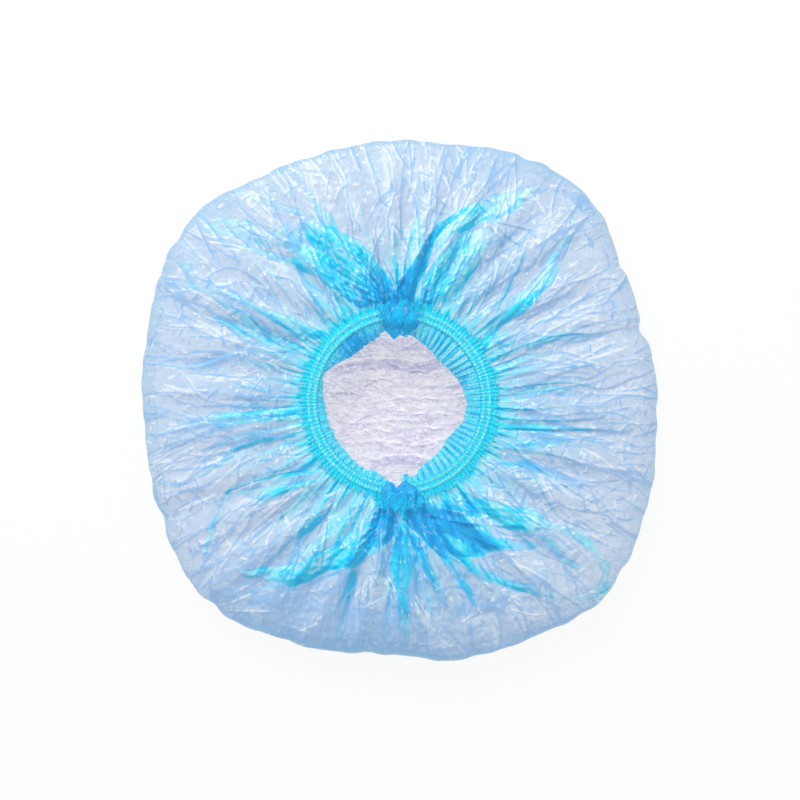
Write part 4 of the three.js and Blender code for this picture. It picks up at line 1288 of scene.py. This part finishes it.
def crown_film(name, finish):
    """The film under the mouth, on the surface. A square grid, closer in the middle, is drawn to a disc,
    x * sqrt(1 - y^2 / 2), and to the outline. Its creases are drawn out along x."""
    steps = 300
    line = np.linspace(-1, 1, steps + 1)
    line = 0.42 * line + 0.58 * line ** 3
    sx, sy = np.meshgrid(line, line)
    dx, dy = sx * np.sqrt(1 - sy ** 2 / 2), sy * np.sqrt(1 - sx ** 2 / 2)
    reach = edge_reach(np.arctan2(dy, dx)) - 0.3 * MM
    x, y = CAP_MIDDLE[0] + reach * dx, CAP_MIDDLE[1] + reach * dy
    facets, facet_lines = crinkle(0.45 * x, y, *CROWN_CRINKLE)
    fine_facets, fine_lines = crinkle(0.6 * x, y, *CROWN_FINE_CRINKLE)
    z = MM * (0.3 + np.clip(0.5 + 0.5 * creases(x, y, 11 * MM, 121), 0, None))
    z += np.clip(0.7 * facets + 0.5 * fine_facets + 0.6 * MM, 0, None)
    z -= z.min() - 0.3 * MM
    inset = reach * (1 - np.hypot(dx, dy))
    z += CURL_HEIGHT * np.clip(1 - inset / CURL_WIDTH, 0, 1) ** 2
    mm_x, mm_y = x / MM, y / MM
    tint, glare = np.zeros(x.shape), np.zeros(x.shape)
    for points, below, above, strength in CROWN_FOLDS:
        share, offset, _, _ = beside(line_through(points), mm_x, mm_y)
        ends = smooth(0, 0.12, share) * smooth(1, 0.88, share)
        rise = smooth(-below - 0.25, -below + 0.25, offset)
        tint += strength * rise * smooth(above + 0.2, above - 0.2, offset) * ends
        # A painted highlight line just past each fold
        glare += 1.4 * strength * bell(offset - above - 0.6, 0.45) * ends
        z += 0.7 * MM * bell(offset, above + below) * ends
    # The slope along y becomes the shade mark, a painted shade
    slope = np.gradient(z, axis=0) / np.maximum(np.gradient(y, axis=0), 1e-6)
    lines = np.maximum(facet_lines, 0.7 * fine_lines)
    for points, strength in crown_creases():
        near, share, offset, _, _ = near_line(points, 2.5, mm_x, mm_y, steps=3)
        fade = strength * smooth(0, 0.2, share) * smooth(1, 0.7, share)
        lines[near] = np.maximum(lines[near], 1.5 * fade * bell(offset, 0.45))
        # A painted highlight line beside each crease
        glare[near] += 0.8 * fade * bell(offset - 0.95, 0.45)
    off_x, off_y = x - MOUTH_MIDDLE[0], y - MOUTH_MIDDLE[1]
    under_hem = smooth(*UNDER_HEM, np.hypot(off_x, off_y))
    under_film = smooth(*UNDER_FILM, np.hypot(off_x / 2, off_y))
    marks = {
        "tint": np.clip(tint, 0, 1), "glare": glare, "shade": np.clip(slope, -0.7, 0.7),
        "lines": np.clip(lines, 0, 1.3), "covered": 0.6 * under_hem + 0.4 * under_film}
    faces = grid_faces(steps + 1, steps + 1)[:, ::-1]
    piece = make_piece(name, stacked(x, y, z), faces, finish, marks)
    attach(piece, "cap_body")
    return piece


def casing(name, side, finish):
    """The hem over the elastic: a closed section carried round one side of the mouth, with gathers that grow
    towards its outer ruffle."""
    sizes = bpy.context.scene.cap_sizes
    loop = np.vstack((HEM_SECTION, HEM_SECTION[:1]))
    places = np.arange(0, len(HEM_SECTION), HEM_STEP)
    low = np.floor(places).astype(int)
    profile = from_to(loop[low], loop[low + 1], (places - low)[:, None])
    angle = mouth_side(side, CASING_STOP, sizes.gathers * CASING_STEPS)
    wander = 1.1 * drift(angle * 9, 6.0, 201 + side)
    w = np.sin(2 * sizes.gathers * angle + 2 * wander)[:, None]
    v = np.sin(sizes.gathers * angle + 1.7 * wander + 1)[:, None]
    p, q = profile[:, 0][None, :], profile[:, 1][None, :]
    flare = smooth(FLARE_START, RUFFLE_END, p)
    from_start, to_end = np.abs(angle - angle[0]), np.abs(angle[-1] - angle)
    ends = smooth(0, 0.06, from_start)[:, None] * smooth(0, 0.06, to_end)[:, None]
    ragged = 0.9 * drift(angle * 6, 3.0, 221 + side) + 0.8 * drift(angle * 40, 3.0, 223 + side)
    reach = p + flare * (0.3 * w + 0.4 * v - 0.6 + ragged[:, None])
    ruffle = RUFFLE_START + np.maximum(reach - RUFFLE_START, 0.15) * (0.3 + 0.7 * ends)
    reach = np.where(p > RUFFLE_START, ruffle, reach) - 0.22 * w * (p < -2.5)
    rise = q + (0.17 + 0.4 * flare) * w * np.sign(q + 0.5 + flare) + 0.4 * flare * v + 0.7 * flare
    x, y = around(MOUTH_MIDDLE, angle[:, None], sizes.mouth_radius + reach * MM)
    over_strand = bell(np.abs(p) - STRAND_PLACE, STRAND_SPREAD) * (q > 0.6)
    blotch = drift(angle * 30, 3.0, 215 + side)[:, None]
    tint = 0.42 + 0.30 * w * (1 - 0.55 * over_strand) * (1 - 0.2 * flare) - 0.28 * over_strand + 0.12 * v
    tint = tint + (0.16 + 0.2 * flare) * blotch - 0.2 * flare + 0.25 * (1 - ends)
    # Painted highlights along the film pulled over each strand, and on the ruffle's raised gathers
    glare = over_strand * (0.55 + 0.12 * w + 0.15 * blotch)
    glare = glare + (0.2 + 0.35 * np.maximum(w, 0) + 0.3 * blotch) * flare
    thin = 1 - 0.55 * smooth(THIN_START, RUFFLE_END, p)
    marks = {"tint": np.clip(tint, 0, 1), "glare": glare, "thin": thin}
    faces = grid_faces(len(angle), len(profile), closed=True)
    lay = stacked(angle[:, None] * sizes.mouth_radius, p * MM)
    piece = make_piece(name, stacked(x, y, sizes.mouth_height + rise * MM), faces, finish, marks, lay)
    follow_mouth(piece)
    return piece


def strand(name, side, offset, finish):
    """An elastic strand: a circle carried round one side of the mouth, with small thick and thin places."""
    sizes = bpy.context.scene.cap_sizes
    stations, corners = 420, 12
    angle = mouth_side(side, STRAND_STOP, stations)[:, None]
    turn = np.linspace(0, TAU, corners, endpoint=False)[None, :]
    thick = sizes.strand_radius * (1 + 0.06 * np.sin(150 * angle))
    thick[0], thick[-1] = thick[0] * 0.05, thick[-1] * 0.05
    x, y = around(MOUTH_MIDDLE, angle, sizes.mouth_radius + offset + thick * np.cos(turn))
    piece = make_piece(
        name, stacked(x, y, sizes.mouth_height + thick * np.sin(turn)),
        grid_faces(stations + 1, corners, closed=True), finish,
        lay=stacked(angle * sizes.mouth_radius, thick * turn))
    follow_mouth(piece)
    return piece


def frill(name, side, finish):
    """The film's free edge inside the mouth: a sheet from the casing to the opening, with ribs across it that
    stand up and lean. It lies smooth in one stretch and is ribbed most in two others."""
    sizes = bpy.context.scene.cap_sizes
    angle = mouth_side(side, FRILL_STOP, sizes.gathers * FRILL_STEPS)[None, :]
    inward = np.linspace(0, 1, FRILL_ROWS)[:, None]
    outer = sizes.mouth_radius - FRILL_START
    wander = 1.2 * drift(angle * 8, 5.0, 231 + side)
    wave = np.sin(2 * sizes.gathers * angle + 2 * wander)
    half_wave = np.sin(0.95 * sizes.gathers * angle + 2.2 * wander)
    teeth = 0.3 * wave + 0.6 * half_wave + 0.5 * drift(angle * 14, 2.0, 241 + side)
    inner = np.minimum(MM * round_table(OPENING_REACHES, angle) + 0.45 * MM * teeth, outer - 0.3 * MM)
    radius = from_to(outer, inner, inward)
    lean = 0.012 * half_wave * inward + 0.004 * wave * inward
    x, y = around(MOUTH_MIDDLE, angle + lean, radius)
    rise = 0.3 - 2.4 * inward ** 2 + (0.25 + 0.2 * inward) * wave + (0.3 + 0.6 * inward) * half_wave
    degrees = np.degrees(angle) % 360
    smoothed, ribbed, less_ribbed = (
        bell(degrees - middle, spread) for middle, spread in (SMOOTH_FRILL, RIBBED_FRILL, LESS_RIBBED_FRILL))
    ribbed = ribbed + 0.5 * less_ribbed
    at_seal = bell(np.minimum(np.abs(angle - angle[0, 0]), np.abs(angle[0, -1] - angle)), 0.22)
    rib = half_wave + 0.5 * swells(angle * 40, inward * 2, 3.0, 245 + side)
    tint = 0.5 + 0.14 * wave + (0.2 + 0.25 * ribbed) * rib + 0.64 * smoothed + 0.1 * at_seal
    # Painted highlights on one side of each rib, most where the frill is ribbed most
    glare = (0.25 + 0.8 * ribbed) * np.clip(0 - rib, 0, 1) * (1 - smoothed) * (1 - at_seal)
    marks = {"tint": np.clip(tint, 0, DEEPEST_GATHER), "glare": glare * (0.5 + 0.5 * inward), "thin": 1}
    piece = make_piece(
        name, stacked(x, y, sizes.mouth_height + MM * rise), grid_faces(len(inward), angle.size)[:, ::-1],
        finish, marks, stacked(angle * sizes.mouth_radius, radius))
    follow_mouth(piece)
    return piece


def end_seal(name, end, finish):
    """A fan of bunched film over the ends of the elastics: a flat lobed section carried outwards along Y."""
    sizes = bpy.context.scene.cap_sizes
    rows, columns = 110, 240
    along = np.linspace(0, 1, rows)[:, None]
    shares, half_widths, half_heights = np.transpose(SEAL_STATIONS)
    wide, tall = (np.interp(along, shares, halves) * MM for halves in (half_widths, half_heights))
    turn = np.linspace(0, TAU, columns, endpoint=False)[None, :]
    across = np.cos(turn)
    wander = 0.5 * swells(across * 3, along * 4, 2.5, 251)
    few, more, many = SEAL_PLEATS
    pleats = 0.5 * np.cos(few * across + wander + end) + 0.35 * np.cos(more * across - 2 * along + 2 * wander)
    pleats = pleats + 0.2 * np.cos(many * across + 3 * wander)
    x = MOUTH_MIDDLE[0] + wide * across * (1 + 0.04 * pleats) + 0.8 * MM * drift(along * 6, 3.0, 261)
    depth, middle, half = SEAL_NOTCHES[end]
    notch = depth * MM * np.clip(1 - np.abs((x - MOUTH_MIDDLE[0]) / MM - middle) / half, 0, 1)
    ragged = (1.6 * smooth(0.5, 1, along) - 0.7 * smooth(0.3, 0, along)) * MM * pleats * (1 - np.abs(across))
    outwards = SEAL_STARTS[end] + SEAL_LENGTH * along + notch * smooth(0.35, 0, along) + ragged
    y = MOUTH_MIDDLE[1] + end * outwards
    rise = smooth(0.1, 0.3, along) * smooth(1, 0.75, along)
    ribs = 0.5 * MM * pleats * smooth(0, 0.3, along) * (1 - np.abs(across) ** 3) * (np.sin(turn) > 0)
    z = sizes.mouth_height + (1.8 + 1.8 * rise) * MM + tall * np.sin(turn) + ribs
    cloud = swells(x / MM, y / MM, 9, 255 + end) + 0.5 * swells(x / MM, y / MM, 4, 258 + end)
    tint = 0.98 - 0.12 * pleats * (1 - 0.4 * np.abs(across)) + 0.14 * cloud + 0.3 * smooth(0.45, 0.1, along)
    # Painted highlights on the pleats' crests and in cloudy patches
    glare = 0.5 * np.maximum(pleats - 0.6, 0) * smooth(0.2, 0.5, along) + 0.5 * smooth(1.1, 1.9, cloud)
    edge = np.abs(across) * (1 + 0.25 * cloud)
    thin = np.maximum(smooth(1.05, 0.55, edge), smooth(0.35, 0.15, along))
    thin = thin * smooth(0.95, 0.45, along * (1 + 0.2 * cloud))
    marks = {"tint": np.clip(tint, 0, DEEPEST_GATHER), "glare": glare, "thin": thin}
    piece = make_piece(name, stacked(x, y, z), grid_faces(rows, columns, closed=True), finish, marks)
    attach(piece, "cap_body")
    return piece


class CAP_OT_crown_film(bpy.types.Operator):
    """Adds the film that lies under the mouth"""

    bl_idname = "shower_cap.crown_film"
    bl_label = "Crown film"

    def execute(self, context):
        piece = crown_film("crown_film_crumpled", crown_finish())
        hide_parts("crown_film")
        return {"FINISHED"}


class CAP_OT_side_films(bpy.types.Operator):
    """Adds the two pleated sides of the cap"""

    bl_idname = "shower_cap.side_films"
    bl_label = "Side films"

    def execute(self, context):
        finish = film_finish()
        for name, side in SIDES:
            piece = side_film(f"{name}_side_film_folded", side, finish)
            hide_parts(f"{name}_side_film", f"{name}_edge_fold")
        return {"FINISHED"}


class CAP_OT_casings(bpy.types.Operator):
    """Adds the gathered hem over the elastic"""

    bl_idname = "shower_cap.casings"
    bl_label = "Elastic casings"

    def execute(self, context):
        finish = gathered_finish()
        for name, side in SIDES:
            piece = casing(f"{name}_casing_gathered", side, finish)
            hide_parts(f"{name}_elastic_casing")
        return {"FINISHED"}


class CAP_OT_elastics(bpy.types.Operator):
    """Adds the two strands of elastic in each casing"""

    bl_idname = "shower_cap.elastics"
    bl_label = "Elastic strands"

    def execute(self, context):
        finish = elastic_finish()
        pitch = context.scene.cap_sizes.strand_pitch
        for name, side in SIDES:
            for place, offset in (("outer", pitch / 2), ("inner", -pitch / 2)):
                piece = strand(f"{name}_{place}_strand", side, offset, finish)
                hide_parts(f"{name}_{place}_elastic")
        return {"FINISHED"}


class CAP_OT_frills(bpy.types.Operator):
    """Adds the ruffled free edge inside the mouth"""

    bl_idname = "shower_cap.frills"
    bl_label = "Frills"

    def execute(self, context):
        finish = bpy.data.materials["gathered film"]
        for (name, side), width, area in zip(SIDES, (0.012, 0.016), (0.0011, 0.0019)):
            piece = frill(f"{name}_frill_ruffled", side, finish)
            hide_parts(f"{name}_frill")
        return {"FINISHED"}


class CAP_OT_end_seals(bpy.types.Operator):
    """Adds the bunched welds at the two ends of the mouth"""

    bl_idname = "shower_cap.end_seals"
    bl_label = "End seals"

    def execute(self, context):
        finish = bpy.data.materials["gathered film"]
        for name, end in (("front", 1), ("back", -1)):
            piece = end_seal(f"{name}_seal_bunched", end, finish)
            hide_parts(f"{name}_end_seal")
        return {"FINISHED"}


class CAP_OT_stage(bpy.types.Operator):
    """Adds the white surface, the soft lamps and the camera"""

    bl_idname = "shower_cap.stage"
    bl_label = "Studio"

    def execute(self, context):
        scene = context.scene
        stage = scene.cap_stage
        mesh = bpy.data.meshes.new("floor")
        mesh.from_pydata([(-4, -4, 0), (4, -4, 0), (4, 4, 0), (-4, 4, 0)], [], [(0, 1, 2, 3)])
        f = Finish("white surface")
        ray = f.add("ShaderNodeLightPath")
        seen = ray.out("Is Camera Ray").most(ray.out("Is Glossy Ray")).most(ray.out("Is Transmission Ray"))
        matt = f.add("ShaderNodeBsdfDiffuse", inputs={"Color": (0.9, 0.9, 0.9, 1)})
        glow = f.add("ShaderNodeEmission", inputs={"Color": (1, 1, 1, 1), "Strength": 1.0})
        mixed = f.add("ShaderNodeMixShader", inputs={0: seen * 0.85, 1: matt, 2: glow})
        mesh.materials.append(f.wear(mixed))
        floor = bpy.data.objects.new("floor", mesh)
        scene.collection.objects.link(floor)

        world = bpy.data.worlds.new("studio")
        world.use_nodes = True
        nodes = Nodes(world.node_tree)
        ray = nodes.add("ShaderNodeLightPath")
        seen = ray.out("Is Camera Ray").most(ray.out("Is Glossy Ray"))
        strength = nodes.add("ShaderNodeMapRange", inputs={"Value": seen, "To Min": stage.sky, "To Max": 1.0})
        background = world.node_tree.nodes["Background"]
        background.inputs["Color"].default_value = (1, 1, 1, 1)
        world.node_tree.links.new(strength.socket, background.inputs["Strength"])
        scene.world = world

        self.lamp("main lamp", (-0.35, 1.0, 0.8), 0.6, stage.main_power)
        for number, (bearing, rise) in enumerate(GLINT_LAMPS, 1):
            a, e = math.radians(bearing), math.radians(rise)
            way = (math.cos(a) * math.cos(e), math.sin(a) * math.cos(e), math.sin(e))
            spot = [GLINT_DISTANCE * part for part in way]
            self.lamp(f"glint lamp {number}", spot, 0.08, stage.glint_power)

        camera = bpy.data.cameras.new("camera")
        camera.sensor_width = 36
        camera.lens = camera.sensor_width * stage.camera_height / stage.view_width
        holder = bpy.data.objects.new("camera", camera)
        holder.location = (0, 0, stage.camera_height + context.scene.cap_sizes.edge_height)
        scene.collection.objects.link(holder)
        scene.camera = holder
        scene.view_settings.view_transform = "Standard"
        scene.cycles.transparent_max_bounces = 64
        scene.cycles.max_bounces = 4
        scene.cycles.diffuse_bounces = 2
        scene.cycles.glossy_bounces = 2
        return {"FINISHED"}

    def lamp(self, name, spot, size, power):
        """A square lamp at a spot, turned to the cap."""
        light = bpy.data.lights.new(name, "AREA")
        light.size = size
        light.energy = power
        light.use_shadow = name == "main lamp"
        holder = bpy.data.objects.new(name, light)
        holder.location = spot
        bpy.context.scene.collection.objects.link(holder)
        down = -holder.location
        holder.rotation_euler = down.to_track_quat("-Z", "Y").to_euler()


class CAP_PT_panel(bpy.types.Panel):
    """Sizes, colours and pieces of the shower cap"""

    bl_label = "Shower Cap"
    bl_idname = "CAP_PT_panel"
    bl_space_type = "VIEW_3D"
    bl_region_type = "UI"
    bl_category = "Shower Cap"

    def draw(self, context):
        scene = context.scene
        groups = (("Sizes", scene.cap_sizes), ("Colours", scene.cap_colours), ("Studio", scene.cap_stage))
        for title, group in groups:
            box = self.layout.box()
            box.label(text=title)
            for key in group.__annotations__:
                box.prop(group, key)
        for operator in OPERATORS:
            self.layout.operator(operator.bl_idname)


OPERATORS = (
    CAP_OT_crown_film, CAP_OT_casings, CAP_OT_side_films, CAP_OT_elastics, CAP_OT_frills, CAP_OT_end_seals,
    CAP_OT_stage,
)
CLASSES = (CapSizes, CapColours, StageSettings, *OPERATORS, CAP_PT_panel)


def register():
    for item in CLASSES:
        bpy.utils.register_class(item)
    bpy.types.Scene.cap_sizes = bpy.props.PointerProperty(type=CapSizes)
    bpy.types.Scene.cap_colours = bpy.props.PointerProperty(type=CapColours)
    bpy.types.Scene.cap_stage = bpy.props.PointerProperty(type=StageSettings)


def unregister():
    del bpy.types.Scene.cap_stage, bpy.types.Scene.cap_colours, bpy.types.Scene.cap_sizes
    for item in reversed(CLASSES):
        bpy.utils.unregister_class(item)


def main():
    register()
    for operator in OPERATORS:
        group, name = operator.bl_idname.split(".")
        getattr(getattr(bpy.ops, group), name)()


if __name__ == "__main__":
    main()
